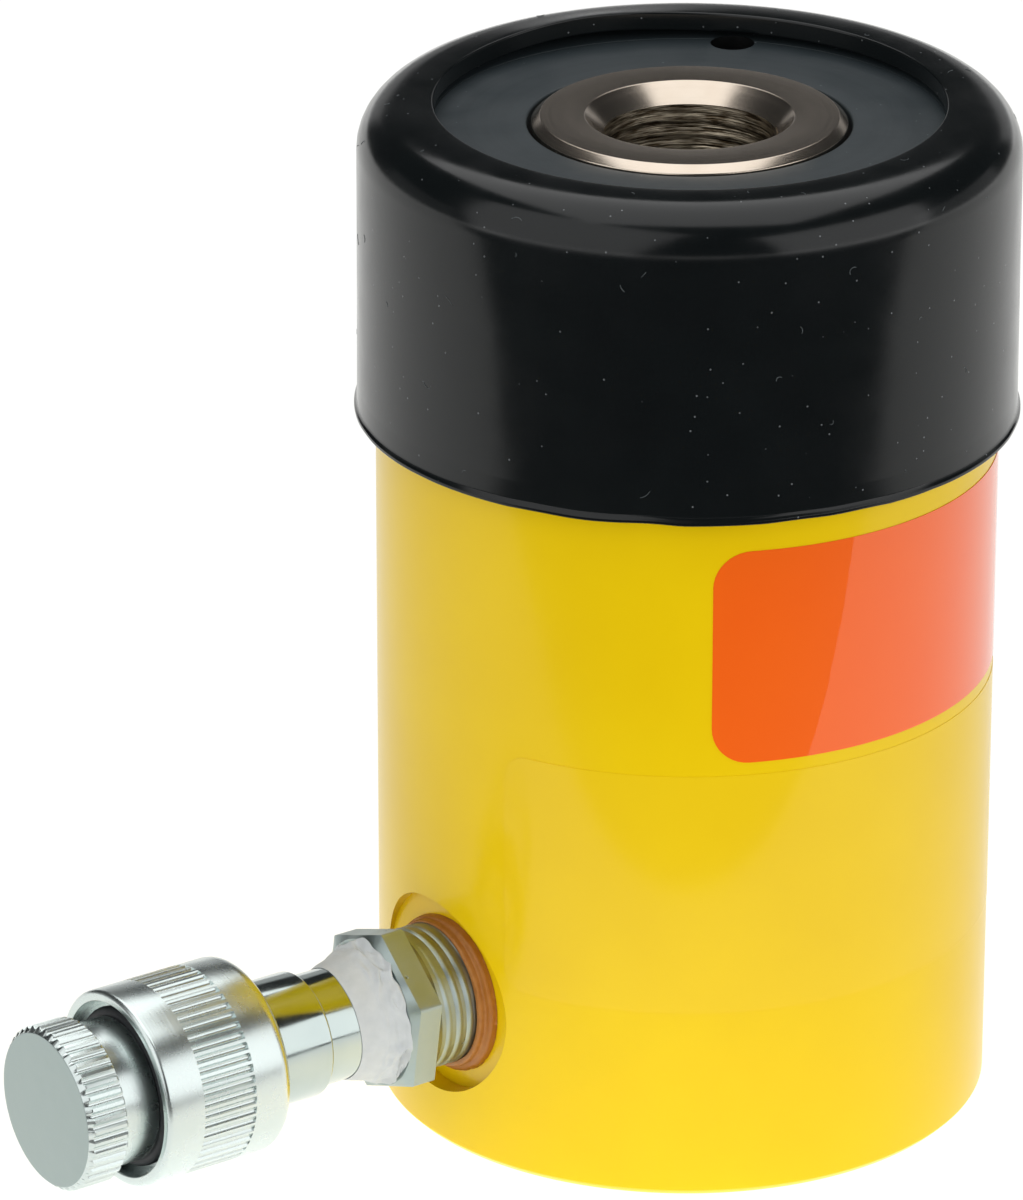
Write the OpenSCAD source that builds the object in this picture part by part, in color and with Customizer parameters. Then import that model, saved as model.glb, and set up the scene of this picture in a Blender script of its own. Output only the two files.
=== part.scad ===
// Hollow plunger hydraulic cylinder: single acting, with a spring return, a port fitting and a
// screw coupler. Millimetres. The origin is the centre of the base face, +Z is up the plunger,
// and the coupler points along -X. External threads are drawn at their root diameter and
// internal threads at their major diameter.

/* [Cylinder body] */
// Outside diameter of the body, also the nominal size of its collar thread
body_d = 69.85; // [66:0.05:76]
// Gap between the return spring and the bore that the piston runs in
bore_gap = 1.15; // [0.5:0.05:1.6]
// Thickness of the solid base below the bore
floor_t = 30; // [29:0.5:36]
// Bevel around the foot of the body
foot_bevel = 0.8; // [0.2:0.1:2]
// Length of the collar thread at the top of the body
collar_len = 30; // [20:0.5:31]
// Depth of the collar thread
collar_cut = 0.87; // [0.4:0.01:1.2]
// Bevel at the start of the collar thread
collar_bevel = 1; // [0.3:0.1:1.5]
// Circle of the two tapped mounting holes in the base
bolt_pcd = 50.8; // [47:0.1:54]
// Major diameter of the mounting holes
bolt_d = 7.94; // [5:0.01:9]
// Depth of the mounting holes
bolt_depth = 12.7; // [8:0.1:20]

/* [Plunger] */
// Travel of the plunger
stroke = 41.3; // [25:0.1:80]
// Outside diameter of the plunger
rod_d = 35.1; // [33:0.1:38]
// Height of the plunger's end above the body when it is in
rod_proud = 0.8; // [0.2:0.1:4]
// Width of the bevel around the plunger's end
rod_bevel = 0.55; // [0.2:0.05:1]
// Height of the bevel around the plunger's end
rod_bevel_h = 0.8; // [0.2:0.05:1.5]
// Height of the piston head
head_h = 14.5; // [14:0.1:25]
// Space for oil below the piston head
head_gap = 0.5; // [0.3:0.1:3]
// Bevel around the piston head
head_bevel = 0.6; // [0.2:0.1:1]
// Major diameter of the thread in the plunger's end
thread_d = 19.05; // [16:0.05:20]
// Length of the thread in the plunger's end, with its countersink
thread_len = 16; // [10:0.5:25]
// Diameter of the countersink at the plunger's end
mouth_d = 23.26; // [20.5:0.02:26]

/* [Center tube] */
// Outside diameter of the center tube
tube_d = 25.4; // [24:0.1:26]
// Bore of the center tube
tube_bore_d = 19.6; // [16:0.1:21]
// Gap between the tube's top and the plunger's thread
tube_drop = 2; // [1:0.1:10]
// Diameter of the tube's foot flange
foot_d = 33; // [29:0.1:36]
// Height of the tube's foot flange
foot_h = 5; // [3:0.1:8]
// Height of the tube seal above the base
tube_seal_z = 22; // [14:0.1:23]

/* [Stop ring] */
// Height of the stop ring with its skirt
guide_len = 28.9; // [28:0.1:40]
// Width of the shoulder in the body that the stop ring screws down to
ring_step = 1.45; // [1:0.05:2.5]
// Height of the screwed part of the stop ring
ring_t = 12.2; // [10:0.1:12.5]
// Wall of the skirt around the plunger bush
skirt_wall = 2; // [1.4:0.1:2.5]
// Wall of the plunger bush
bush_t = 1.6; // [1:0.1:2]
// Length of the plunger bush
bush_len = 16; // [8:0.5:18]
// Lip below the plunger bush
bush_lip = 1.5; // [1:0.1:3]
// Width of the wiper ring
wiper_w = 2.8; // [2:0.1:4]
// Height of the wiper ring
wiper_h = 4; // [3:0.1:5]
// Lip above the wiper ring
wiper_lip = 1.2; // [0.8:0.1:2]
// Diameter of the lock screw
lock_d = 5; // [3:0.1:6]
// Length of the lock screw
lock_len = 5; // [3:0.1:6]
// Depth of the lock screw below the ring's face
lock_sink = 2.6; // [0.5:0.1:4]
// How far the lock screw's middle lies inside the ring's edge
lock_inset = 1; // [0:0.1:1.5]
// Direction of the lock screw from the cylinder's axis
lock_angle = 43.5; // [0:0.5:90]
// Hexagon socket of the lock screw, across flats
lock_socket = 2.5; // [1.5:0.1:2.5]

/* [Return spring] */
// Gap between the skirt and the return spring
spring_gap = 0.6; // [0.3:0.1:1]
// Wire of the return spring
wire_d = 4; // [3:0.1:4]
// Turns of the return spring, end turns included
spring_turns = 4; // [3:0.25:4]

/* [Seals] */
// Width of the piston seal
seal_w = 3.6; // [2.5:0.1:4.5]
// Height of the piston and inner seals
seal_h = 4.2; // [3:0.1:4.4]
// Height of the back-up rings
backup_h = 1.4; // [0.8:0.1:1.6]
// Thickness of the wear rings
wear_w = 2; // [1:0.1:2.5]
// Height of the wear rings
wear_h = 3.2; // [2:0.1:3.4]
// Land below the seals and above the wear rings
land_h = 1.8; // [1:0.1:2]
// Width of the inner seal
inner_w = 2.3; // [1.6:0.1:2.6]
// Section of the tube seal
cord_d = 2.6; // [1.8:0.1:3]

/* [Thread protector] */
// Wall of the thread protector around the collar
cap_wall = 1.875; // [1.5:0.025:5]
// Length of the thread protector below the body's top
cap_len = 33.2; // [32:0.1:45]
// Thickness of the protector's top
cap_top_t = 2.1; // [1.6:0.1:5]
// How far the protector's top reaches over the stop ring
cap_lap = 0.1; // [0:0.1:6]
// Rounding of the protector's top edge
cap_round = 5.5; // [2:0.1:5.5]
// Rounding of the edge around the opening
cap_open_round = 0.3; // [0.2:0.1:0.9]
// Thickness of the rim bead at the protector's foot
cap_bead = 0.35; // [0.1:0.05:1]
// Height of the rim bead at the protector's foot
cap_bead_h = 1.2; // [0.8:0.1:4]

/* [Port and adaptor] */
// Height of the port above the base
port_h = 18.2; // [17:0.1:19]
// Major diameter of the port thread
port_d = 16.8; // [15:0.1:18]
// Depth of the port below its spot face
port_depth = 15; // [13:0.1:15.5]
// Diameter of the spot face around the port
spot_d = 23.2; // [21:0.1:26]
// Depth of the spot face below the body's outside
spot_depth = 2.3; // [2:0.05:3]
// Oil way from the port to the bore
way_d = 5; // [3:0.1:6]
// Root diameter of the adaptor's port thread
neck_d = 16; // [14.5:0.1:16.4]
// Length of the adaptor's thread inside the port
neck_in = 11.5; // [8:0.1:12.5]
// Length of the adaptor's neck outside the spot face
neck_len = 6.8; // [5:0.1:12]
// Adaptor's hexagon across flats
hex_af = 17.5; // [17:0.1:24]
// Thickness of the hexagon
hex_t = 4.2; // [3:0.1:9]
// Turn of the hexagon about the port's axis
hex_turn = -9; // [-30:1:30]
// Major diameter of the adaptor's inner thread
socket_d = 13.5; // [13.2:0.1:14]
// Depth of the adaptor's inner thread
socket_depth = 10; // [8:0.1:12]
// Oil bore through the adaptor
adaptor_bore_d = 8; // [4:0.1:9]
// Outside diameter of the sealant bead around the port
bead_d = 19; // [18.4:0.1:20.5]
// Length of the sealant bead around the port
bead_len = 2; // [1:0.1:3]
// Outside diameter of the sealing paste on the hexagon
paste_d = 16.8; // [15.5:0.1:17]
// Length of the sealing paste along the coupler
paste_len = 5.2; // [3:0.1:7]
// Thickness of the paste smeared on the stem
paste_skin = 0.45; // [0.2:0.05:1]

/* [Coupler body] */
// Diameter of the coupler's stem
stem_d = 12.8; // [12.4:0.1:13]
// Length of the stem outside the adaptor
stem_len = 9.4; // [8:0.1:16]
// Length of the stem's thread inside the adaptor
stem_in = 8.5; // [6:0.1:9]
// Diameter of the coupler's barrel
barrel_d = 14.4; // [14:0.1:15]
// Length of the barrel behind the sleeve
barrel_len = 7.9; // [4:0.1:14]
// Diameter of the flange that holds the sleeve
flange_d = 16.2; // [15.8:0.1:16.4]
// Thickness of that flange
flange_t = 2; // [1.5:0.1:2.5]
// Diameter of the coupler's nose
nose_d = 12.4; // [11:0.1:13]
// Length of the nose
nose_len = 3.6; // [3:0.1:4]
// Section of the nose seal
nose_cord_d = 1.6; // [1:0.1:1.8]
// Wire of the sleeve's retaining ring
clip_d = 1.2; // [0.8:0.1:1.6]

/* [Coupler valve] */
// Bore of the valve chamber
chamber_d = 8.4; // [7:0.1:8.8]
// Bore of the nose
nose_bore_d = 5; // [4:0.1:5.5]
// Oil way in the stem
stem_bore_d = 5.2; // [3:0.1:6]
// Travel of the valve poppet
poppet_travel = 3; // [1:0.1:3]
// Length of the poppet's head
poppet_len = 3.2; // [2:0.1:4]
// Thickness of the valve guide
guide_t = 2; // [1.5:0.1:3]
// Wire of the valve spring
valve_wire_d = 0.7; // [0.4:0.05:0.8]
// Turns of the valve spring
valve_turns = 5; // [4:0.5:6]
// Length of the valve spring
valve_spring_len = 9; // [8:0.1:10]

/* [Coupler sleeve] */
// Outside diameter of the knurled sleeve
sleeve_d = 22.4; // [22:0.1:26]
// Length of the sleeve
sleeve_len = 16.5; // [15.5:0.1:22]
// Thickness of the sleeve's rear wall
sleeve_wall = 3.1; // [2:0.1:4]
// Rounding of the sleeve's rear edge
sleeve_round = 1.6; // [0.5:0.1:2]
// Rounding of the sleeve's front edge
sleeve_front_round = 0.6; // [0.2:0.1:0.7]
// Start of the knurl from the sleeve's rear
grip_start = 5.1; // [3:0.1:6]
// Length of the knurl
grip_len = 6.7; // [3:0.1:8]
// Number of flutes in the sleeve's knurl
grip_flutes = 56; // [30:1:64]
// Width of one flute
flute_w = 0.84; // [0.4:0.02:1]
// Depth of one flute
flute_depth = 0.36; // [0.2:0.02:0.44]
// Radial clearance of the plug's shank in the sleeve's thread
nut_gap = 0.2; // [0.1:0.05:0.5]
// Width of the recess around the plug in the sleeve's mouth
recess_w = 1.8; // [1.5:0.1:1.9]
// Depth of the recess in the sleeve's mouth
recess_depth = 2.4; // [2:0.1:4]

/* [Dust plug] */
// Diameter of the knurled knob
knob_d = 18.7; // [17.5:0.1:26]
// Height of the knob
knob_h = 4.9; // [3:0.1:10]
// Bevel around the knob's face
knob_bevel = 0.65; // [0.3:0.05:1]
// Gap between the knob and the sleeve
knob_gap = 4; // [1:0.1:8]
// Number of flutes in the knob's knurl
knob_flutes = 44; // [24:1:50]
// Diameter of the plug's smooth shank
plug_d = 16.4; // [16:0.1:16.5]
// Depth of the plug's thread
plug_cut = 0.7; // [0.3:0.05:0.9]
// Length of the plug's thread
plug_thread_len = 4.3; // [2.5:0.1:4.6]
// Section of the plug seal
plug_cord_d = 1.6; // [1.2:0.1:1.7]
// Diameter of the hollow in the plug's inner end, clear of the coupler's valve
plug_hollow_d = 6; // [5.6:0.1:10]

/* [Clearances] */
// Radial clearance of parts that run on each other
run_gap = 0.1; // [0.05:0.01:0.15]
// Clearance of parts that are seated or screwed together
seat_gap = 0.05; // [0.02:0.01:0.1]
// Radial clearance of the thread protector on the collar
cap_gap = 0.2; // [0.1:0.05:0.4]
// Gap beside the plunger at the wiper's lip
lip_gap = 0.45; // [0.3:0.05:0.6]

/* [Hidden] */
$fn = 96;
// Overlap of a cut past the face that it opens
cut = 1;

// Radii from the plunger outwards: bush, skirt, return spring, bore, stop ring
body_r = body_d / 2;
rod_r = rod_d / 2;
tube_r = tube_d / 2;
bush_r = rod_r + run_gap + bush_t;
skirt_r = bush_r + seat_gap + skirt_wall;
spring_r = skirt_r + spring_gap + wire_d;
bore_r = spring_r + bore_gap;
ring_r = bore_r + ring_step;

// Heights of the plunger's stack, from the base up
head_z = floor_t + head_gap;
head_top = head_z + head_h;
skirt_z = head_top + stroke;
body_h = skirt_z + guide_len;
ring_z = body_h - ring_t;
rod_top = body_h + rod_proud;
thread_z = rod_top - thread_len;
tube_top = thread_z - tube_drop;
wiper_z = body_h - wiper_lip - wiper_h;
bush_z = skirt_z + bush_lip;
seal_z = head_z + land_h;
seal_room = seal_h + backup_h + 3 * seat_gap;
wear_z = head_top - land_h - wear_h;
head_r = bore_r - run_gap;
rod_bore_r = tube_r + run_gap;

// Places along the coupler's axis, from the cylinder's axis outwards
spot_s = body_r - spot_depth;
port_end = spot_s - port_depth;
hex_s = spot_s + neck_len;
hex_face = hex_s + hex_t;
barrel_s = hex_face + stem_len;
sleeve_s = barrel_s + barrel_len;
sleeve_front = sleeve_s + sleeve_len;
flange_s = sleeve_s + sleeve_wall + run_gap;
nose_s = flange_s + flange_t;
nose_end = nose_s + nose_len;
recess_s = sleeve_front - recess_depth;
recess_d = plug_d + 2 * recess_w;
nut_d = plug_d + 2 * nut_gap;
knob_s = sleeve_front + knob_gap;
knob_end = knob_s + knob_h;
plug_seal_s = recess_s + run_gap + plug_cord_d / 2;
plug_step = recess_s - run_gap;
plug_end = plug_step - plug_thread_len;

// Valve inside the coupler body, closed against the seat behind the nose
chamber_r = chamber_d / 2;
nose_bore_r = nose_bore_d / 2;
seat_len = chamber_r - nose_bore_r;
seat_s = nose_s - seat_len;
poppet_s = seat_s - run_gap;
poppet_back = poppet_s - poppet_len;
spring_s = poppet_back - valve_spring_len;
guide_s = spring_s - guide_t;

// A flat ring of square section
module band(r_in, r_out, z, h) {
    rotate_extrude()
        translate([r_in, z])
            square([r_out - r_in, h]);
}

// A ring of round section
module cord_ring(r, z, d) {
    rotate_extrude()
        translate([r, z])
            circle(d = d);
}

// A lip seal with its notch open downwards, towards the pressure
module lip_seal(r_in, r_out, z, h) {
    lip = (r_out - r_in) / 5;
    notch = h * 0.55;
    rotate_extrude()
        polygon([
            [r_in, z], [r_in + lip, z], [(r_in + r_out) / 2, z + notch],
            [r_out - lip, z], [r_out, z], [r_out, z + h], [r_in, z + h]
        ]);
}

// Points of a coil whose end turns lie flat, from z = 0 to z = len
function coil_rise(t, turns, wire, len) =
    lookup(t, [[0, 0], [0.75, 0.75 * wire], [turns - 0.75, len - 1.75 * wire], [turns, len - wire]]);
function coil_points(r, wire, turns, len, steps, sides) = [
    for (i = [0:steps], j = [0:sides - 1])
        let (t = turns * i / steps, b = 360 * j / sides, q = r + wire / 2 * cos(b))
            [q * cos(360 * t), q * sin(360 * t),
             wire / 2 + coil_rise(t, turns, wire, len) + wire / 2 * sin(b)]
];
function coil_faces(steps, sides) = concat(
    [[for (j = [0:sides - 1]) j]],
    [for (i = [0:steps - 1], j = [0:sides - 1])
        let (k = (j + 1) % sides)
            [i * sides + j, (i + 1) * sides + j, (i + 1) * sides + k, i * sides + k]],
    [[for (j = [sides - 1:-1:0]) steps * sides + j]]
);

// A coil spring standing on z = 0, with its outside diameter and overall length
module coil(d, wire, turns, len, per_turn, sides) {
    steps = ceil(turns * per_turn);
    polyhedron(coil_points((d - wire) / 2, wire, turns, len, steps, sides), coil_faces(steps, sides));
}

// Cutters for a straight knurl: flutes of a given width and depth around an edge
module flutes(d, count, z, h) {
    chord = (flute_w * flute_w / 4 + flute_depth * flute_depth) / (2 * flute_depth);
    translate([0, 0, z])
        linear_extrude(h)
            for (i = [0:count - 1])
                rotate(360 * i / count)
                    translate([d / 2 - flute_depth + chord, 0])
                        circle(chord, $fn = 24);
}

// Turns a shape built up its own Z axis onto the port's axis, with z = 0 at the cylinder's axis
module along_port() {
    translate([0, 0, port_h])
        rotate([0, -90, 0])
            children();
}

module lock_place() {
    rotate(lock_angle)
        translate([ring_r - lock_inset, 0, body_h])
            children();
}

module lock_hole() {
    lock_place()
        translate([0, 0, -lock_sink - lock_len - seat_gap])
            cylinder(d = lock_d, h = lock_sink + lock_len + seat_gap + cut);
}

// Forged and turned body: port boss inside the solid base, collar thread at the top
module cylinder_body() {
    collar_r = body_r - collar_cut;
    collar_z = body_h - collar_len;
    color("gold")
        difference() {
            rotate_extrude()
                polygon([
                    [0, 0], [body_r - foot_bevel, 0], [body_r, foot_bevel],
                    [body_r, collar_z - collar_cut], [collar_r, collar_z],
                    [collar_r, body_h - collar_bevel], [collar_r - collar_bevel, body_h], [0, body_h]
                ]);
            translate([0, 0, floor_t])
                cylinder(r = bore_r, h = body_h);
            translate([0, 0, ring_z])
                cylinder(r = ring_r + seat_gap, h = ring_t + cut);
            translate([0, 0, -cut])
                cylinder(r = tube_r + seat_gap, h = floor_t + 2 * cut);
            translate([0, 0, -cut])
                cylinder(d = foot_d + 2 * seat_gap, h = foot_h + seat_gap + cut);
            tube_groove();
            for (side = [-1, 1])
                translate([0, side * bolt_pcd / 2, -cut])
                    cylinder(d = bolt_d, h = bolt_depth + cut);
            along_port()
                translate([0, 0, spot_s])
                    cylinder(d = spot_d, h = spot_depth + cut);
            along_port()
                translate([0, 0, port_end])
                    cylinder(d = port_d, h = port_depth + cut);
            translate([-port_end - way_d / 2 - cut, 0, port_h])
                cylinder(d = way_d, h = floor_t - port_h + cut);
            lock_hole();
        }
}

module tube_groove() {
    band(tube_r, tube_r + cord_d, tube_seal_z, cord_d + backup_h + 3 * seat_gap);
}

// Tube through the middle, screwed into the base by its foot
module center_tube() {
    color("silver")
        difference() {
            union() {
                cylinder(r = tube_r, h = tube_top);
                cylinder(d = foot_d, h = foot_h);
            }
            translate([0, 0, -cut])
                cylinder(d = tube_bore_d, h = tube_top + 2 * cut);
        }
}

module tube_seal() {
    color("dimgray")
        cord_ring(tube_r + cord_d / 2, tube_seal_z + seat_gap + cord_d / 2, cord_d - 2 * seat_gap);
}

module tube_backup_ring() {
    color("ivory")
        band(tube_r + seat_gap, tube_r + cord_d - seat_gap, tube_seal_z + cord_d + 2 * seat_gap, backup_h);
}

// Screwed ring that stops and guides the plunger; its skirt is the stop
module stop_ring() {
    color("darkslategray")
        difference() {
            union() {
                translate([0, 0, skirt_z])
                    cylinder(r = skirt_r, h = guide_len);
                translate([0, 0, ring_z])
                    cylinder(r = ring_r, h = ring_t);
            }
            translate([0, 0, skirt_z - cut])
                cylinder(r = rod_r + lip_gap, h = guide_len + 2 * cut);
            band(rod_r, bush_r + seat_gap, bush_z, bush_len + 2 * seat_gap);
            band(rod_r, rod_r + wiper_w + seat_gap, wiper_z, wiper_h);
            lock_hole();
        }
}

module plunger_bush() {
    color("peru")
        band(rod_r + run_gap, bush_r, bush_z + seat_gap, bush_len);
}

// Wiper with a lip that leans in to the plunger
module wiper_ring() {
    z = wiper_z + seat_gap;
    h = wiper_h - 2 * seat_gap;
    heel = rod_r + lip_gap + seat_gap;
    color("black")
        rotate_extrude()
            polygon([
                [heel, z], [rod_r + wiper_w, z], [rod_r + wiper_w, z + h],
                [heel, z + h], [rod_r + run_gap, z + h * 0.8], [heel, z + h * 0.45]
            ]);
}

module lock_screw() {
    color("dimgray")
        lock_place()
            translate([0, 0, -lock_sink - lock_len])
                difference() {
                    cylinder(d = lock_d - 2 * seat_gap, h = lock_len);
                    translate([0, 0, lock_len / 2])
                        cylinder(d = lock_socket / cos(30), h = lock_len, $fn = 6);
                }
}

// Hollow plunger in one piece with its piston head
module plunger() {
    mouth_r = mouth_d / 2;
    thread_r = thread_d / 2;
    color("lightgray")
        difference() {
            rotate_extrude()
                polygon([
                    [rod_bore_r, head_z], [head_r - head_bevel, head_z], [head_r, head_z + head_bevel],
                    [head_r, head_top - head_bevel], [head_r - head_bevel, head_top], [rod_r, head_top],
                    [rod_r, rod_top - rod_bevel_h], [rod_r - rod_bevel, rod_top], [mouth_r, rod_top],
                    [thread_r, rod_top - mouth_r + thread_r], [thread_r, thread_z], [rod_bore_r, thread_z]
                ]);
            band(head_r - seal_w, head_r + cut, seal_z, seal_room);
            band(head_r - wear_w, head_r + cut, wear_z - seat_gap, wear_h + 2 * seat_gap);
            band(rod_bore_r - cut, rod_bore_r + inner_w, seal_z, seal_room);
            band(rod_bore_r - cut, rod_bore_r + wear_w, wear_z - seat_gap, wear_h + 2 * seat_gap);
        }
}

module piston_seal() {
    color("steelblue")
        lip_seal(head_r - seal_w + seat_gap, bore_r - seat_gap, seal_z + seat_gap, seal_h);
}

module piston_backup_ring() {
    color("ivory")
        band(head_r - seal_w + seat_gap, head_r, seal_z + seal_h + 2 * seat_gap, backup_h);
}

module piston_wear_ring() {
    color("peru")
        band(head_r - wear_w + seat_gap, bore_r - seat_gap, wear_z, wear_h);
}

module inner_seal() {
    color("steelblue")
        lip_seal(tube_r + seat_gap, rod_bore_r + inner_w - seat_gap, seal_z + seat_gap, seal_h);
}

module inner_backup_ring() {
    color("ivory")
        band(rod_bore_r, rod_bore_r + inner_w - seat_gap, seal_z + seal_h + 2 * seat_gap, backup_h);
}

module inner_wear_ring() {
    color("peru")
        band(tube_r + seat_gap, rod_bore_r + wear_w - seat_gap, wear_z, wear_h);
}

// Spring between the piston head and the stop ring, around the skirt
module return_spring() {
    color("darkgray")
        translate([0, 0, head_top + seat_gap])
            coil(2 * spring_r, wire_d, spring_turns, ring_z - head_top - 2 * seat_gap, 24, 10);
}

// Dipped cover over the collar thread, open over the plunger
module thread_protector() {
    inner_r = body_r + cap_gap;
    cap_r = inner_r + cap_wall;
    open_r = ring_r - cap_lap;
    foot = body_h - cap_len;
    under = body_h + run_gap;
    top = under + cap_top_t;
    corner = collar_cut + collar_bevel - cap_gap - run_gap;
    color("black")
        rotate_extrude()
            difference() {
                union() {
                    translate([0, foot])
                        square([cap_r, top - cap_round - foot]);
                    translate([0, foot])
                        square([cap_r - cap_round, top - foot]);
                    translate([cap_r - cap_round, top - cap_round])
                        circle(cap_round);
                    translate([0, foot])
                        square([cap_r + cap_bead, cap_bead_h]);
                }
                polygon([
                    [0, foot - cut], [inner_r, foot - cut], [inner_r, under - corner],
                    [inner_r - corner, under], [0, under]
                ]);
                translate([0, foot])
                    square([open_r, top - foot + cut]);
                translate([open_r, top - cap_open_round])
                    difference() {
                        translate([-cut, 0])
                            square(cap_open_round + cut);
                        translate([cap_open_round, 0])
                            circle(cap_open_round);
                    }
            }
}

// Threaded neck and hexagon that carry the coupler
module port_adaptor() {
    hex_r = hex_af / 2 / cos(30);
    hex_bevel = hex_r - hex_af / 2;
    neck_r = neck_d / 2;
    color("lightsteelblue")
        along_port()
            difference() {
                union() {
                    translate([0, 0, spot_s - neck_in])
                        cylinder(r = neck_r, h = neck_in + neck_len);
                    intersection() {
                        translate([0, 0, hex_s])
                            rotate(hex_turn)
                                cylinder(r = hex_r, h = hex_t, $fn = 6);
                        rotate_extrude()
                            polygon([
                                [0, hex_s], [hex_af / 2, hex_s], [hex_r, hex_s + hex_bevel / 2],
                                [hex_r, hex_face - hex_bevel / 2], [hex_af / 2, hex_face], [0, hex_face]
                            ]);
                    }
                }
                translate([0, 0, hex_face - socket_depth])
                    cylinder(d = socket_d, h = socket_depth + cut);
                translate([0, 0, spot_s - neck_in - cut])
                    cylinder(d = adaptor_bore_d, h = neck_in + neck_len + hex_t);
            }
}

// Bead of sealant where the neck enters the spot face
module port_sealant() {
    inner = neck_d / 2 + seat_gap;
    outer = bead_d / 2;
    color("sienna")
        along_port()
            rotate_extrude()
                polygon([
                    [inner, spot_s + seat_gap], [outer, spot_s + seat_gap],
                    [outer, spot_s + bead_len * 0.4], [inner + (outer - inner) * 0.6, spot_s + bead_len],
                    [inner, spot_s + bead_len]
                ]);
}

// Sealing paste pressed out between the stem and the hexagon
module thread_sealant() {
    inner = stem_d / 2 + seat_gap;
    outer = paste_d / 2;
    start = hex_face + seat_gap;
    collar = paste_len / 4;
    color("whitesmoke")
        along_port()
            rotate_extrude()
                polygon([
                    [inner, start], [outer, start], [outer - collar / 3, start + collar],
                    [inner + paste_skin, start + 2 * collar], [inner + paste_skin, start + paste_len],
                    [inner, start + paste_len]
                ]);
}

// Coupler half: stem, barrel, flange and nose around the valve chamber
module coupler_body() {
    color("silver")
        along_port()
            difference() {
                union() {
                    translate([0, 0, hex_face - stem_in])
                        cylinder(d = stem_d, h = stem_in + stem_len);
                    translate([0, 0, barrel_s])
                        cylinder(d = barrel_d, h = flange_s - barrel_s);
                    translate([0, 0, flange_s])
                        cylinder(d = flange_d, h = flange_t);
                    translate([0, 0, nose_s])
                        cylinder(d = nose_d, h = nose_len);
                }
                translate([0, 0, hex_face - stem_in - cut])
                    cylinder(d = stem_bore_d, h = guide_s - hex_face + stem_in + 2 * cut);
                translate([0, 0, guide_s])
                    cylinder(r = chamber_r, h = seat_s - guide_s);
                translate([0, 0, seat_s])
                    cylinder(r1 = chamber_r, r2 = nose_bore_r, h = seat_len);
                translate([0, 0, seat_s])
                    cylinder(r = nose_bore_r, h = nose_end - seat_s + cut);
                nose_groove();
                clip_groove();
            }
}

module nose_groove() {
    groove_w = nose_cord_d + 2 * seat_gap;
    band(nose_d / 2 - nose_cord_d / 2, nose_d / 2 + cut, nose_s + (nose_len - groove_w) / 2, groove_w);
}

module clip_groove() {
    groove_w = clip_d + 2 * seat_gap;
    band((barrel_d - clip_d) / 2, barrel_d / 2 + cut, sleeve_s - run_gap - groove_w, groove_w);
}

module nose_seal() {
    color("dimgray")
        along_port()
            cord_ring(nose_d / 2 + seat_gap, nose_s + nose_len / 2, nose_cord_d);
}

// Wire ring that keeps the sleeve up against the flange
module sleeve_clip() {
    color("gray")
        along_port()
            cord_ring(barrel_d / 2 + seat_gap, sleeve_s - run_gap - seat_gap - clip_d / 2, clip_d);
}

// Drilled disc behind the valve spring
module valve_guide() {
    hole_r = chamber_r * 0.2;
    color("darkkhaki")
        along_port()
            translate([0, 0, guide_s])
                difference() {
                    cylinder(r = chamber_r - seat_gap, h = guide_t);
                    for (i = [0:4])
                        rotate(72 * i)
                            translate([chamber_r * 0.55, 0, -cut])
                                cylinder(r = hole_r, h = guide_t + 2 * cut);
                }
}

module valve_spring() {
    color("darkgray")
        along_port()
            translate([0, 0, spring_s + seat_gap])
                coil(chamber_d - 2 * run_gap - valve_wire_d, valve_wire_d, valve_turns,
                     valve_spring_len - 2 * seat_gap, 16, 6);
}

// Poppet held closed by its spring, with a stem that ends flush with the nose
module valve_poppet() {
    head_radius = chamber_r - 2 * run_gap;
    stem_r = nose_bore_r - 3 * run_gap;
    cone_len = head_radius - stem_r;
    color("gold")
        along_port()
            rotate_extrude()
                polygon([
                    [0, poppet_back], [head_radius, poppet_back], [head_radius, poppet_s - run_gap],
                    [stem_r, poppet_s - run_gap + cone_len], [stem_r, nose_end - run_gap],
                    [0, nose_end - run_gap]
                ]);
}

// Turning sleeve with a straight knurl, threaded inside for the plug or a hose coupler
module coupler_sleeve() {
    r = sleeve_d / 2;
    grip_s = sleeve_s + grip_start;
    grip_end = grip_s + grip_len;
    color("lightsteelblue")
        along_port()
            difference() {
                rotate_extrude() {
                    translate([0, sleeve_s + sleeve_round])
                        square([r, sleeve_len - sleeve_round - sleeve_front_round]);
                    translate([0, sleeve_s])
                        square([r - sleeve_round, grip_start]);
                    translate([0, grip_end])
                        square([r - sleeve_front_round, sleeve_front - grip_end]);
                    translate([r - sleeve_round, sleeve_s + sleeve_round])
                        circle(sleeve_round);
                    translate([r - sleeve_front_round, sleeve_front - sleeve_front_round])
                        circle(sleeve_front_round);
                }
                flutes(sleeve_d, grip_flutes, grip_s, grip_len);
                translate([0, 0, sleeve_s - cut])
                    cylinder(d = barrel_d + 2 * run_gap, h = sleeve_wall + 2 * cut);
                translate([0, 0, sleeve_s + sleeve_wall])
                    cylinder(d = nut_d, h = sleeve_len);
                translate([0, 0, recess_s])
                    cylinder(d = recess_d, h = recess_depth + cut);
            }
}

module plug_seal() {
    color("dimgray")
        along_port()
            cord_ring(plug_d / 2 + run_gap, plug_seal_s, plug_cord_d);
}

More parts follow.
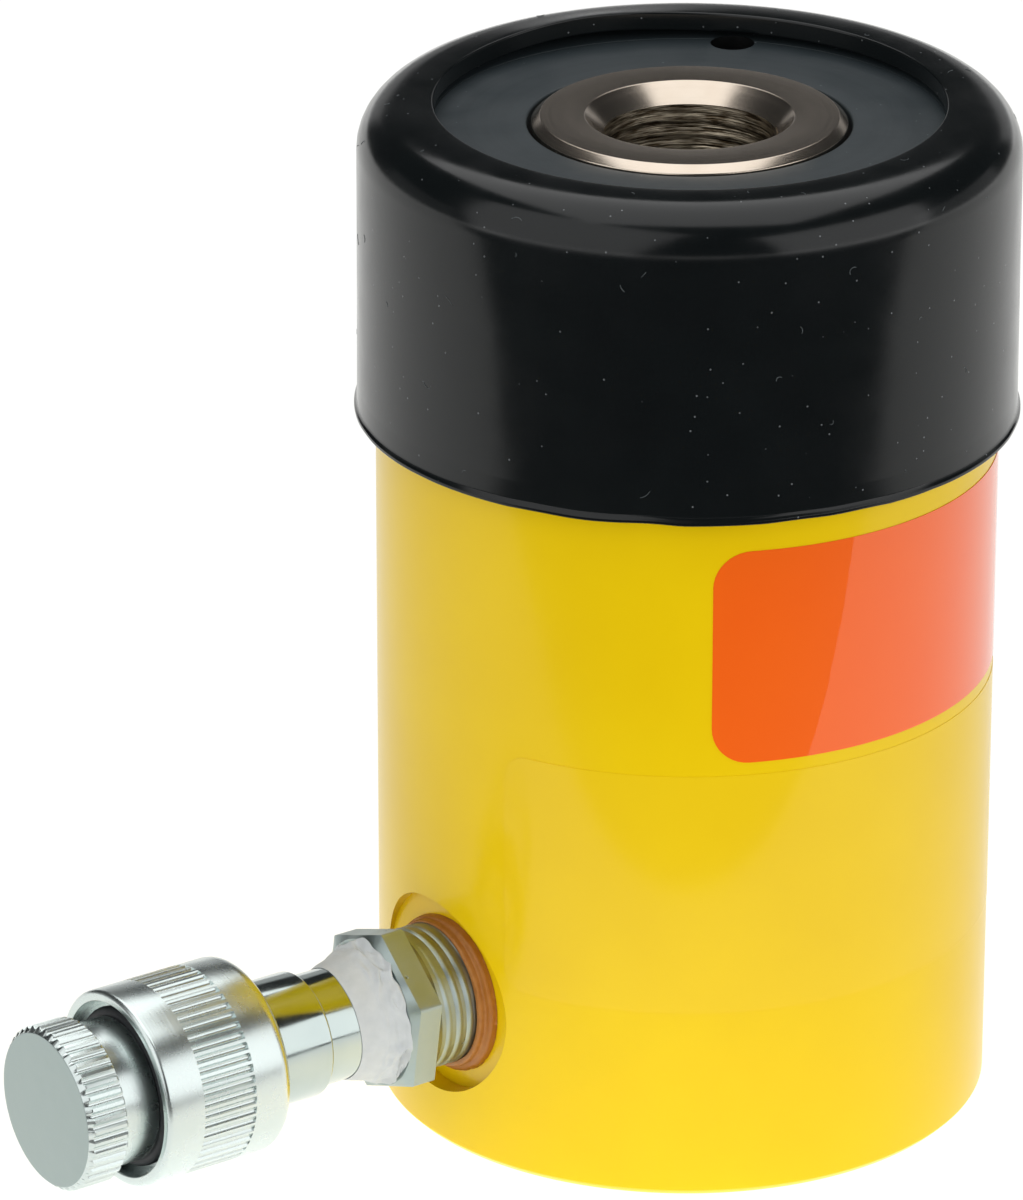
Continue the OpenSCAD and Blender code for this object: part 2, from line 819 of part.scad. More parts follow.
// Plug that screws into the sleeve and keeps dirt out
module dust_plug() {
    r = knob_d / 2;
    plug_r = plug_d / 2;
    groove_w = plug_cord_d + 2 * run_gap;
    color("lightgray")
        along_port()
            difference() {
                rotate_extrude()
                    polygon([
                        [0, plug_end], [plug_r - plug_cut, plug_end], [plug_r - plug_cut, plug_step],
                        [plug_r, plug_step], [plug_r, knob_s], [r, knob_s],
                        [r, knob_end - knob_bevel], [r - knob_bevel, knob_end], [0, knob_end]
                    ]);
                flutes(knob_d, knob_flutes, knob_s - cut, knob_h + 2 * cut);
                band((plug_d - plug_cord_d) / 2, plug_d, plug_seal_s - groove_w / 2, groove_w);
                translate([0, 0, plug_end - cut])
                    cylinder(d = plug_hollow_d, h = plug_thread_len + cut);
            }
}

cylinder_body();
center_tube();
tube_seal();
tube_backup_ring();
stop_ring();
plunger_bush();
wiper_ring();
lock_screw();
plunger();
piston_seal();
piston_backup_ring();
piston_wear_ring();
inner_seal();
inner_backup_ring();
inner_wear_ring();
return_spring();
thread_protector();
port_adaptor();
port_sealant();
thread_sealant();
coupler_body();
nose_seal();
sleeve_clip();
valve_guide();
valve_spring();
valve_poppet();
coupler_sleeve();
plug_seal();
dust_plug();
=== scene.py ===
import random
from math import acos, atan2, copysign, cos, degrees, exp, hypot, pi, radians, sin, sqrt, tan

import bmesh
import bpy
from mathutils import Matrix, Vector, noise
from mathutils.bvhtree import BVHTree


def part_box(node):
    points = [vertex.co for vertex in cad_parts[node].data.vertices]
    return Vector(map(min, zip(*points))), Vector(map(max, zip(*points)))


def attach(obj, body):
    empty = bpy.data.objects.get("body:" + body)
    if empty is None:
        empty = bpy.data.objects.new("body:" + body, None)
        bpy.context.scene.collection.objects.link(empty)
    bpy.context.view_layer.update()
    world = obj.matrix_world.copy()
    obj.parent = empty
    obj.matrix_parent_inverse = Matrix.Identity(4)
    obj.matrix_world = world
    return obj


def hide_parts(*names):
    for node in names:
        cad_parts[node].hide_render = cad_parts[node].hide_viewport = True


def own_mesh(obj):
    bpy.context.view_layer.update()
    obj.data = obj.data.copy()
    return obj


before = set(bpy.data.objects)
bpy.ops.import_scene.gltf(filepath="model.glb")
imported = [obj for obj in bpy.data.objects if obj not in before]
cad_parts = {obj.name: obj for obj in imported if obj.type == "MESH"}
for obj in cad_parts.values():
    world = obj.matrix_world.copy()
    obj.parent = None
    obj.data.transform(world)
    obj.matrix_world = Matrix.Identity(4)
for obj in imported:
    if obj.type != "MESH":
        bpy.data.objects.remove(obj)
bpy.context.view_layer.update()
scene = bpy.context.scene
mm = 0.001
print("frame loaded")


# sizes in millimetres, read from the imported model

def upright(node):
    low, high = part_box(node)
    return {"r": (high[1] - low[1]) / 2 / mm, "foot": low[2] / mm, "top": high[2] / mm}


def sideways(node):
    low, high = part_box(node)
    return {"r": (high[1] - low[1]) / 2 / mm, "back": -high[0] / mm, "front": -low[0] / mm}


bodySize, tubeSize, ringSize = upright("cylinder_body"), upright("center_tube"), upright("stop_ring")
rodSize, coverSize, coilSize = upright("plunger"), upright("thread_protector"), upright("return_spring")
adaptorSize, couplerSize = sideways("port_adaptor"), sideways("coupler_body")
beadSize, pasteSize = sideways("port_sealant"), sideways("thread_sealant")
sleeveSize, plugSize = sideways("coupler_sleeve"), sideways("dust_plug")
sleeveLow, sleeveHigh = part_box("coupler_sleeve")
portHeight = (sleeveLow[2] + sleeveHigh[2]) / 2  # the coupler's axis, metres
alongPort = Matrix.Translation((0, 0, portHeight)) @ Matrix.Rotation(radians(-90), 4, "Y")


# mesh helpers

def newPiece(name, form):
    bmesh.ops.recalc_face_normals(form, faces=form.faces)
    mesh = bpy.data.meshes.new(name)
    form.to_mesh(mesh)
    form.free()
    piece = bpy.data.objects.new(name, mesh)
    scene.collection.objects.link(piece)
    return piece


def settle(piece, body, materials, nodes=(), sharp=32):
    piece.data.materials.clear()
    for material in materials:
        piece.data.materials.append(material)
    for polygon in piece.data.polygons:
        polygon.use_smooth = True
    piece.data.set_sharp_from_angle(angle=radians(sharp))
    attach(piece, body)
    if nodes:
        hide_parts(*nodes)


def roundCorners(corners, steps):
    # corners are (radius, height) or (radius, height, rounding), in order round a closed section
    points = []
    for i, corner in enumerate(corners):
        here = Vector(corner[:2])
        rounding = corner[2] if len(corner) > 2 else 0
        if not rounding:
            points.append(here)
            continue
        a = (Vector(corners[i - 1][:2]) - here).normalized()
        b = (Vector(corners[(i + 1) % len(corners)][:2]) - here).normalized()
        half = acos(max(-1, min(1, a.dot(b)))) / 2
        middle = here + (a + b).normalized() * rounding / sin(half)
        start = here + a * rounding / tan(half) - middle
        end = here + b * rounding / tan(half) - middle
        turn = atan2(start.x * end.y - start.y * end.x, start.dot(end))
        for k in range(steps + 1):
            c, s = cos(turn * k / steps), sin(turn * k / steps)
            points.append(middle + Vector((start.x * c - start.y * s, start.x * s + start.y * c)))
    return points


def addPoint(form, r, angle, z, place=None):
    point = Vector((r * cos(angle), r * sin(angle), z)) * mm
    return form.verts.new(place @ point if place else point)


def skinRows(form, rows):
    # a closed tube through rows of points, capped at both ends
    for a, b in zip(rows, rows[1:]):
        for k in range(len(a)):
            n = (k + 1) % len(a)
            form.faces.new((a[k], b[k], b[n], a[n]))
    form.faces.new(rows[0])
    form.faces.new(rows[-1][::-1])


def spin(name, corners, columns, place=None, shape=None, firstAngle=0, steps=5):
    # rounds a closed section and turns it about the axis; shape(r, z, angle) may bend each point
    section = roundCorners(corners, steps)
    form = bmesh.new()
    rings = []
    for r, z in section:
        ring = []
        for c in range(columns):
            angle = firstAngle + 2 * pi * c / columns
            bentR, bentZ = shape(r, z, angle) if shape else (r, z)
            ring.append(addPoint(form, bentR, angle, bentZ, place))
        rings.append(ring)
    for i, lower in enumerate(rings):
        j = (i + 1) % len(rings)
        if section[i][0] < 1e-6 and section[j][0] < 1e-6:
            continue
        for c in range(columns):
            d = (c + 1) % columns
            form.faces.new((lower[c], lower[d], rings[j][d], rings[j][c]))
    bmesh.ops.remove_doubles(form, verts=form.verts, dist=1e-8)
    return newPiece(name, form)


def threadRidge(name, radius, height, pitch, start, length, place=None, perTurn=72):
    # one helical ridge; a negative height points inwards; it sinks a little into its wall
    form = bmesh.new()
    steps = int(length / pitch * perTurn)
    root = radius - copysign(0.06, height)
    rows = []
    for i in range(steps + 1):
        angle = 2 * pi * i / perTurn
        z = start + length * i / steps
        fade = min(1, i / perTurn * 3, (steps - i) / perTurn * 3)
        crest = radius + height * max(fade, 0.02)
        profile = ((root, -0.46), (crest, -0.1), (crest, 0.1), (root, 0.46))  # radius, share of the pitch
        rows.append([addPoint(form, r, angle, z + along * pitch, place) for r, along in profile])
    skinRows(form, rows)
    return newPiece(name, form)


def wireCoil(name, radius, wire, turns, low, length, perTurn=64, sides=16, place=None):
    # a coil whose end turns lie flat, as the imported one
    form = bmesh.new()
    steps = int(turns * perTurn)
    marks = ((0, 0), (0.75, 0.75 * wire), (turns - 0.75, length - 1.75 * wire), (turns, length - wire))
    rows = []
    for i in range(steps + 1):
        t = turns * i / steps
        for (t0, z0), (t1, z1) in zip(marks, marks[1:]):
            if t0 <= t <= t1 + 1e-9:
                rise = z0 + (z1 - z0) * (t - t0) / (t1 - t0)
        row = []
        for k in range(sides):
            b = 2 * pi * k / sides
            z = low + wire / 2 + rise + wire / 2 * sin(b)
            row.append(addPoint(form, radius + wire / 2 * cos(b), 2 * pi * t, z, place))
        rows.append(row)
    skinRows(form, rows)
    return newPiece(name, form)


def rod(radius, low, high, place, sides):
    # a short-lived cutter
    form = bmesh.new()
    bmesh.ops.create_cone(form, cap_ends=True, segments=sides, radius1=radius * mm, radius2=radius * mm,
                          depth=(high - low) * mm)
    middle = Matrix.Translation((0, 0, (low + high) / 2 * mm))
    bmesh.ops.transform(form, matrix=place @ middle, verts=form.verts)
    return newPiece("cutter", form)


def carve(piece, cutters):
    for cutter in cutters:
        cut = piece.modifiers.new("carve", "BOOLEAN")
        cut.operation = "DIFFERENCE"
        cut.solver = "EXACT"
        cut.object = cutter
    ready = piece.evaluated_get(bpy.context.evaluated_depsgraph_get())
    carved = bpy.data.meshes.new_from_object(ready)
    piece.modifiers.clear()
    old = piece.data
    piece.data = carved
    bpy.data.meshes.remove(old)
    for cutter in cutters:
        bpy.data.objects.remove(cutter)


# material helpers

def linear(code):
    channels = [int(code[i:i + 2], 16) / 255 for i in (1, 3, 5)]
    return tuple(c / 12.92 if c <= 0.04045 else ((c + 0.055) / 1.055) ** 2.4 for c in channels) + (1.0,)


def grain(size, **more):
    # a pattern's scale from its real size in mm
    return {"Scale": 1 / (size * mm), **more}


def addNode(tree, kind, inputs=None, links=None, out=0, **settings):
    node = tree.nodes.new("ShaderNode" + kind)
    for key, value in settings.items():
        setattr(node, key, value)
    for key, value in (inputs or {}).items():
        node.inputs[key].default_value = value
    for key, source in (links or {}).items():
        tree.links.new(source, node.inputs[key])
    return node.outputs[out]


def startMaterial(name, **sockets):
    material = bpy.data.materials.new(name)
    material.use_nodes = True
    tree = material.node_tree
    shader = tree.nodes["Principled BSDF"]
    for key, value in sockets.items():
        shader.inputs[key.replace("_", " ")].default_value = value
    place = addNode(tree, "TexCoord", out="Object")
    return material, tree, shader.inputs, place


def dress(tree, skin, tones, shade, roughness=None, rub=None, depth=0, relief=None, strength=1.0,
          normal="Normal", between=(0.3, 0.7), fleck=None, flecks=None, **settings):
    # ties a finish to its patterns: shade drives the tone, rub the roughness and relief a bump, whose depth
    # is in mm; flecks lie over the tone in a colour of their own
    blend = {6: linear(tones[0]), 7: linear(tones[1])}
    tone = addNode(tree, "Mix", blend, {0: shade}, 2, data_type="RGBA")
    if fleck:
        tone = addNode(tree, "Mix", {7: linear(fleck)}, {0: flecks, 6: tone}, 2, data_type="RGBA")
    tree.links.new(tone, skin["Base Color"])
    if roughness:
        limits = {1: between[0], 2: between[1], 3: roughness[0], 4: roughness[1]}
        tree.links.new(addNode(tree, "MapRange", limits, {0: rub}), skin["Roughness"])
    if depth:
        size = {"Strength": strength, "Distance": depth * mm}
        tree.links.new(addNode(tree, "Bump", size, {"Height": relief}, **settings), skin[normal])


def mottled(name, tones, size, roughness=None, detail=2.0, depth=0, **sockets):
    # a finish that one noise drives, of a size in mm
    material, tree, skin, place = startMaterial(name, **sockets)
    spots = addNode(tree, "TexNoise", grain(size, Detail=detail), {"Vector": place})
    dress(tree, skin, tones, spots, roughness, spots, depth, spots)
    return material


def coated(name, tones, drift, ripple, depth, strength=1.0, detail=2.0, **sockets):
    # an even colour under a clear coat, and the coat alone carries the ripple; lengths in mm
    material, tree, skin, place = startMaterial(name, **sockets)
    slow = addNode(tree, "TexNoise", grain(drift), {"Vector": place})
    swell = addNode(tree, "TexNoise", grain(ripple, Detail=detail), {"Vector": place})
    dress(tree, skin, tones, slow, None, None, depth, swell, strength, "Coat Normal")
    return material


def latheMarks(tree, place, axis, width):
    # rings left by a turning tool: noise that runs along the axis and the radius only
    if axis == "port":
        place = addNode(tree, "VectorMath", {1: (0, 0, portHeight)}, {0: place}, operation="SUBTRACT")
    split = addNode(tree, "SeparateXYZ", links={0: place}).node.outputs
    across = ("Y", "Z", "X") if axis == "port" else ("X", "Y", "Z")
    flat = addNode(tree, "CombineXYZ", links={0: split[across[0]], 1: split[across[1]]})
    radius = addNode(tree, "VectorMath", links={0: flat}, out="Value", operation="LENGTH")
    both = addNode(tree, "CombineXYZ", links={0: radius, 1: split[across[2]]})
    return addNode(tree, "TexNoise", grain(width, Detail=3.0), {"Vector": both})


def specks(tree, place, spacing, size, share):
    # dust or pits: a share of the cells of a given spacing carries one speck, both in mm
    near = addNode(tree, "TexVoronoi", grain(spacing), {"Vector": place}, "Distance")
    dot = addNode(tree, "MapRange", {1: size / spacing, 2: size / spacing * 0.6}, {0: near})
    chance = addNode(tree, "SeparateColor", links={0: near.node.outputs["Color"]})
    some = addNode(tree, "Math", {1: 1 - share}, {0: chance}, operation="GREATER_THAN")
    return addNode(tree, "Math", links={0: dot, 1: some}, operation="MULTIPLY")


# materials

# sprayed gloss enamel on turned steel: a deep even yellow under a clear skin with a faint orange peel
enamel = coated("enamel_sprayed_gloss", ("#EAC302", "#F2CE06"), 14, 1.6, 0.006, detail=1.0,
                Roughness=0.3, Specular_IOR_Level=0.16, Coat_Weight=0.3, Coat_Roughness=0.14)

# dipped plastisol: near black, satin, drawn smooth as it set, with pale dust that clings
vinyl, tree, skin, place = startMaterial("plastisol_dipped", Specular_IOR_Level=0.35)
dust = specks(tree, place, 1.4, 0.12, 0.5)
grit = specks(tree, place, 6.0, 0.3, 0.22)
allDust = addNode(tree, "Math", links={0: dust, 1: grit}, operation="MAXIMUM")
faint = addNode(tree, "Math", {1: 0.38}, {0: allDust}, operation="MULTIPLY")
sag = addNode(tree, "TexNoise", grain(9), {"Vector": place})
wave = addNode(tree, "TexNoise", grain(5, Detail=3.0), {"Vector": place})
dress(tree, skin, ("#0A0D0E", "#111516"), sag, (0.15, 0.21), wave, 0.012, wave,
      fleck="#A4A9AC", flecks=faint)

# textile lint that settled on the tacky vinyl: short pale grey fibres
lint = mottled("lint_cotton", ("#3B4042", "#7F8587"), 0.4, Roughness=0.8, Specular_IOR_Level=0.2)

# chemically blackened steel, oiled: a flat slate grey with the turning just readable
blackOxide, tree, skin, place = startMaterial("steel_black_oxide", Specular_IOR_Level=0.5)
marks = latheMarks(tree, place, "up", 0.5)
grit = specks(tree, place, 1.6, 0.11, 0.35)
oil = addNode(tree, "TexNoise", grain(6, Detail=3.0), {"Vector": place})
dress(tree, skin, ("#283033", "#363E42"), marks, (0.38, 0.5), oil, 0.01, marks, 0.6,
      fleck="#80878A", flecks=grit)

# the same steel down in the small threaded hole and on the set screw in it, painted close to black: a
# painted shade for the depth of the hole
lockHoleShade = mottled("steel_black_oxide_painted_hole_shade", ("#050606", "#0E1011"), 1.2, (0.5, 0.65), 3.0,
                     Specular_IOR_Level=0.25)

# nickel plated turned steel: a soft mirror whose warm tone is partly the nickel's own and partly a painted
# reflection of brownish surroundings, with turning rings so fine that they only blur it
nickel, tree, skin, place = startMaterial("steel_turned_nickel_plated_painted_reflection_tint", Metallic=1.0)
marks = latheMarks(tree, place, "up", 0.35)
stain = addNode(tree, "TexNoise", grain(5, Detail=3.0), {"Vector": place})
dress(tree, skin, ("#C4B6A6", "#D4C8BA"), stain, (0.2, 0.24), marks, 0.0015, marks, 0.4)

# bare turned steel of the tube, the collar and other inner faces: bright with fine rings
ground, tree, skin, place = startMaterial("steel_turned_bare", Metallic=1.0)
marks = latheMarks(tree, place, "up", 0.6)
stain = addNode(tree, "TexNoise", grain(8, Detail=3.0), {"Vector": place})
dress(tree, skin, ("#86837E", "#ACA9A3"), stain, (0.25, 0.42), marks, 0.02, marks, 0.8)

# the thread tapped in the plunger's end: brownish, oily, with fine torn lines round the hole
tapped, tree, skin, place = startMaterial("steel_tapped_oily", Metallic=1.0)
marks = latheMarks(tree, place, "up", 0.22)
drawn = addNode(tree, "VectorMath", {1: (1, 1, 9)}, {0: place}, operation="MULTIPLY")
torn = addNode(tree, "TexNoise", grain(3, Detail=4.0), {"Vector": drawn})
shade = addNode(tree, "MapRange", {1: 0.38, 2: 0.66}, {0: torn})
both = addNode(tree, "Math", links={0: marks, 1: torn}, operation="ADD")
dress(tree, skin, ("#4A3F30", "#BDB29E"), shade, (0.28, 0.45), marks, 0.2, both)

# bright zinc plate on turned steel: a cool mirror that breaks what it shows into crisp bands
zinc, tree, skin, place = startMaterial("steel_zinc_plated_bright", Metallic=1.0)
marks = latheMarks(tree, place, "port", 0.3)
cloud = addNode(tree, "TexNoise", grain(4, Detail=4.0), {"Vector": place})
dress(tree, skin, ("#B4C0BE", "#C4CFCC"), cloud, (0.08, 0.18), cloud, 0.004, marks, 0.5, between=(0.3, 0.75))

# zinc plate tumbled in a barrel: brighter and softer, with handling scratches along the turning
zincSatin, tree, skin, place = startMaterial("steel_zinc_plated_tumbled", Metallic=1.0)
marks = latheMarks(tree, place, "port", 0.3)
drawn = addNode(tree, "VectorMath", {1: (14, 1.2, 1)}, {0: place}, operation="MULTIPLY")
scratch = addNode(tree, "TexNoise", grain(3.2), {"Vector": drawn})
cloud = addNode(tree, "TexNoise", grain(3, Detail=4.0), {"Vector": place})
score = addNode(tree, "Math", links={0: marks, 1: scratch}, operation="ADD")
dress(tree, skin, ("#D0DBD9", "#DCE5E3"), cloud, (0.25, 0.29), cloud, 0.008, score, 0.6)

# zinc plate on a milled or faced blank: dull grey, pitted
zincFace, tree, skin, place = startMaterial("steel_zinc_plated_dull", Metallic=1.0)
pits = specks(tree, place, 1.7, 0.22, 0.2)
cloud = addNode(tree, "TexNoise", grain(3, Detail=4.0), {"Vector": place})
dress(tree, skin, ("#9DABA9", "#B2BEBC"), cloud, (0.33, 0.45), cloud, 0.04, pits,
      fleck="#828E8D", flecks=pits, invert=True)

# oil tempered spring wire: blue grey with a dry film of oil
springWire = mottled("steel_wire_oil_tempered", ("#484B51", "#6C7076"), 3, (0.3, 0.48), 4.0, Metallic=1.0)

# sintered bearing bronze: warm and porous
bronze, tree, skin, place = startMaterial("bronze_sintered", Metallic=1.0, Roughness=0.45)
pores = specks(tree, place, 0.5, 0.12, 0.4)
patch = addNode(tree, "TexNoise", grain(3, Detail=3.0), {"Vector": place})
dress(tree, skin, ("#A2733B", "#BF9050"), patch, fleck="#604323", flecks=pores)

# turned brass of the valve parts: yellow metal with tool rings
brass, tree, skin, place = startMaterial("brass_turned", Metallic=1.0)
marks = latheMarks(tree, place, "port", 0.25)
dress(tree, skin, ("#C39D45", "#DAB961"), marks, (0.18, 0.34), marks, 0.01, marks, 0.6)

# moulded nitrile rubber: matt black, a slight bloom
rubber = mottled("nitrile_moulded", ("#141517", "#282A2E"), 1.5, (0.45, 0.62), 4.0, Specular_IOR_Level=0.4)

# cast urethane lip seals: translucent blue, oily
urethane = mottled("urethane_cast", ("#2A577F", "#3F73A0"), 2.5, detail=3.0,
                   Roughness=0.24, Specular_IOR_Level=0.5, Subsurface_Weight=0.12)

# skived filled PTFE: ivory, waxy, with knife lines
ptfe, tree, skin, place = startMaterial("ptfe_skived", Specular_IOR_Level=0.4)
drawn = addNode(tree, "VectorMath", {1: (1, 1, 4)}, {0: place}, operation="MULTIPLY")
knife = addNode(tree, "TexNoise", grain(0.6), {"Vector": drawn})
dress(tree, skin, ("#D4CDBB", "#EAE6D9"), knife, (0.32, 0.48), knife)

# anaerobic sealant that has squeezed out and set: smooth orange brown, deeper in tone where it is thick
sealant = mottled("sealant_set_brown", ("#965416", "#B4782C"), 2.2, (0.3, 0.45), 3.0, 0.08,
                  Specular_IOR_Level=0.45, Subsurface_Weight=0.05, Subsurface_Scale=0.0006)

# the same sealant wiped out thin over the paint and the thread: paler brown, grainy
sealantThin = mottled("sealant_wiped_thin", ("#925620", "#B87E3E"), 0.8, (0.36, 0.55), 4.0,
                      Specular_IOR_Level=0.4)

# thread paste wiped round the joint and dried: chalk white, smooth where a finger ran, mottled with grey at
# random
paste = mottled("paste_dried_white", ("#BBC0C1", "#D2D5D5"), 1.4, (0.5, 0.65), 3.0, 0.06,
                Specular_IOR_Level=0.3)

# printed polyester film, orange under a glossy clear laminate
orangeFilm = coated("film_polyester_orange", ("#F8620A", "#FA680C"), 10, 7, 0.02, 0.5,
                    Roughness=0.4, Specular_IOR_Level=0.2, Coat_Weight=0.9, Coat_Roughness=0.015)

# clear polyester film over the paint: only its gloss and its edge show
clearFilm = coated("film_polyester_clear", ("#EAC30A", "#F2CD10"), 14, 8, 0.008, 0.4,
                   Roughness=0.42, Specular_IOR_Level=0.12, Coat_Weight=0.55, Coat_Roughness=0.1)

# black card: matt, a little grey where light grazes it
blackCard = mottled("card_black_matt", ("#363636", "#404040"), 3, Roughness=0.8, Specular_IOR_Level=0.1)

# seamless background paper: matt white with hardly any tooth
paper = mottled("paper_matt_white", ("#F2F2F0", "#F8F8F6"), 300, Roughness=0.9, Specular_IOR_Level=0.1)
print("materials made")


# cylinder body: paint outside, bare steel on the collar, in the bore and in the port and bolt holes, painted
# shade in the lock screw's hole, black on top
shell = {"columns": 288, "footBevel": 0.8, "rows": (4, 33, 50, 68), "floor": 30, "ringStart": 103,
         "collarLength": 30, "collarCut": 0.87, "collarBevel": 1.0, "collarPitch": 1.5875,
         "collarRidge": 0.82, "tubeHole": 12.75, "footHole": 16.55, "footDepth": 5.05,
         "portRadius": 8.4, "portEnd": 17.625, "spotRadius": 11.6, "spotFace": 32.625,
         "boltCircle": 25.4, "boltRadius": 3.97, "boltDepth": 12.7, "boltPitch": 1.411, "boltRidge": 0.6,
         "lockRadius": 2.5, "lockDepth": 7.65}
wall, height = bodySize["r"], bodySize["top"]
collarFoot, collarRoot = height - shell["collarLength"], wall - shell["collarCut"]
boreRadius, ringHole = upright("piston_seal")["r"] + 0.05, ringSize["r"] + 0.05
section = [
    (shell["tubeHole"], shell["floor"]), (shell["tubeHole"], shell["footDepth"]),
    (shell["footHole"], shell["footDepth"]), (shell["footHole"], 0, 0.2),
    (wall - shell["footBevel"], 0, 0.3), (wall, shell["footBevel"], 0.5),
    *[(wall, z) for z in shell["rows"]],
    (wall, collarFoot - shell["collarCut"], 0.25), (collarRoot, collarFoot),
    (collarRoot, height - shell["collarBevel"], 0.15), (collarRoot - shell["collarBevel"], height, 0.05),
    (ringHole, height, 0.03), (ringHole, shell["ringStart"]),
    (boreRadius, shell["ringStart"]), (boreRadius, shell["floor"])]
cylinderShell = spin("cylinder_shell", section, shell["columns"])
screwLow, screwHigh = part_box("lock_screw")
lockX, lockY = (screwLow[0] + screwHigh[0]) / 2, (screwLow[1] + screwHigh[1]) / 2
lockPlace = Matrix.Translation((lockX, lockY, 0))
boltPlaces = {"bolt_thread_a": Matrix.Translation((0, -shell["boltCircle"] * mm, 0)),
              "bolt_thread_b": Matrix.Translation((0, shell["boltCircle"] * mm, 0))}


def lockCutter():
    return rod(shell["lockRadius"], height - shell["lockDepth"], height + 1, lockPlace, 64)


carve(cylinderShell, [
    rod(shell["spotRadius"], shell["spotFace"], wall + 3, alongPort, 128),
    rod(shell["portRadius"], shell["portEnd"], wall + 3, alongPort, 96),
    rod(shell["boltRadius"], -1, shell["boltDepth"], boltPlaces["bolt_thread_b"], 64),
    rod(shell["boltRadius"], -1, shell["boltDepth"], boltPlaces["bolt_thread_a"], 64),
    lockCutter()])
shellFinishes = [enamel, ground, blackOxide, lockHoleShade]
settle(cylinderShell, "cylinder", shellFinishes, ["cylinder_body"], 25)
for polygon in cylinderShell.data.polygons:
    x, y, z = (c / mm for c in polygon.center)
    inBore = hypot(x, y) < boreRadius + 0.1 and z > 0.01
    nearPort = hypot(y, z - portHeight / mm) < shell["portRadius"] + 0.01
    inPort = nearPort and 0 < -x < shell["spotFace"] - 0.05
    inBolt = abs(abs(y) - shell["boltCircle"]) < 4.1 and abs(x) < 4.1 and 0.01 < z < 14
    bare = z > collarFoot - 0.5 or inBore or inPort or inBolt
    # the walls of the lock screw's hole take the near-black painted shade
    nearLock = hypot(x - lockX / mm, y - lockY / mm) < shell["lockRadius"] + 0.05
    inLock = nearLock and z > shell["ringStart"]
    polygon.material_index = 2 if z > height - 0.1 else 3 if inLock else 1 if bare else 0
collarThread = threadRidge("collar_thread", collarRoot, shell["collarRidge"], shell["collarPitch"],
                           collarFoot + 0.9, shell["collarLength"] - 1.9, perTurn=144)
settle(collarThread, "cylinder", [ground])
for name, place in boltPlaces.items():
    boltThread = threadRidge(name, shell["boltRadius"], -shell["boltRidge"], shell["boltPitch"],
                             1.0, 10.5, place, 40)
    settle(boltThread, "cylinder", [ground])
print("body made")


# films on the body: a plain orange one and a clear one that only shows by its edge
films = {"orange": {"left": -121.5, "right": 1.5, "low": 53, "high": 78, "corner": 4.2, "thick": 0.08},
         "clear": {"left": -161, "right": 5, "low": 22.8, "high": 51.5, "corner": 3, "thick": 0.05}}
filmGrid = {"corner": 10, "along": 96, "up": 12, "sink": 0.03}


def filmPatch(name, left, right, low, high, corner, thick):
    # a thin closed patch that wraps the body, with round corners
    length = radians(right - left) * wall
    bends, along, up = filmGrid["corner"], filmGrid["along"], filmGrid["up"]
    spots = [corner * (1 - cos(pi / 2 * k / bends)) for k in range(bends + 1)]
    inner = [corner + (length - 2 * corner) * k / along for k in range(1, along)]
    stations = spots + inner + [length - s for s in reversed(spots)]
    form = bmesh.new()
    faces = []
    for radius in (wall + thick, wall - filmGrid["sink"]):
        face = []
        for u in stations:
            edge = min(u, length - u)
            lift = 0 if edge >= corner else corner - sqrt(max(0, corner ** 2 - (corner - edge) ** 2))
            angle = radians(left) + u / wall
            heights = [low + lift + (high - low - 2 * lift) * k / up for k in range(up + 1)]
            face.append([addPoint(form, radius, angle, z) for z in heights])
        faces.append(face)
    for face in faces:
        for a, b in zip(face, face[1:]):
            for k in range(up):
                form.faces.new((a[k], b[k], b[k + 1], a[k + 1]))
    top, under = faces
    for i in range(len(stations) - 1):
        for k in (0, up):
            form.faces.new((top[i][k], top[i + 1][k], under[i + 1][k], under[i][k]))
    for i in (0, -1):
        for k in range(up):
            form.faces.new((top[i][k], top[i][k + 1], under[i][k + 1], under[i][k]))
    return newPiece(name, form)


settle(filmPatch("orange_film", **films["orange"]), "cylinder", [orangeFilm])
settle(filmPatch("clear_film", **films["clear"]), "cylinder", [clearFilm])


# dipped cover over the collar: a little uneven as it drained, and not pushed quite home at the back
cover = {"columns": 256, "inside": 35.125, "wall": 37.0, "taper": 0.15, "edgeRound": 5.5, "top": 2.1,
         "mouth": 28.4, "mouthRound": 0.25, "corner": 1.57, "unevenness": 0.09,
         "lift": 0.85, "liftTurn": 55, "hump": 0.45, "humpTurn": 78}
coverFoot, coverTop, coverLip = coverSize["foot"], coverSize["top"], coverSize["r"]
coverUnder = coverTop - cover["top"]
section = [
    (cover["inside"], coverFoot, 0.4), (coverLip, coverFoot, 0.15), (coverLip, coverFoot + 0.4, 0.15),
    (cover["wall"] + 0.06, coverFoot + 0.8, 0.8), (cover["wall"], coverFoot + 3, 6),
    (cover["wall"] - 0.04, coverFoot + 11), (cover["wall"] - 0.09, coverFoot + 20),
    (cover["wall"] - cover["taper"], coverTop, cover["edgeRound"]),
    (cover["mouth"] + 1.2, coverTop), (cover["mouth"], coverTop, cover["mouthRound"]),
    (cover["mouth"], coverUnder, 0.3), (cover["inside"] - cover["corner"], coverUnder),
    (cover["inside"], coverUnder - cover["corner"])]


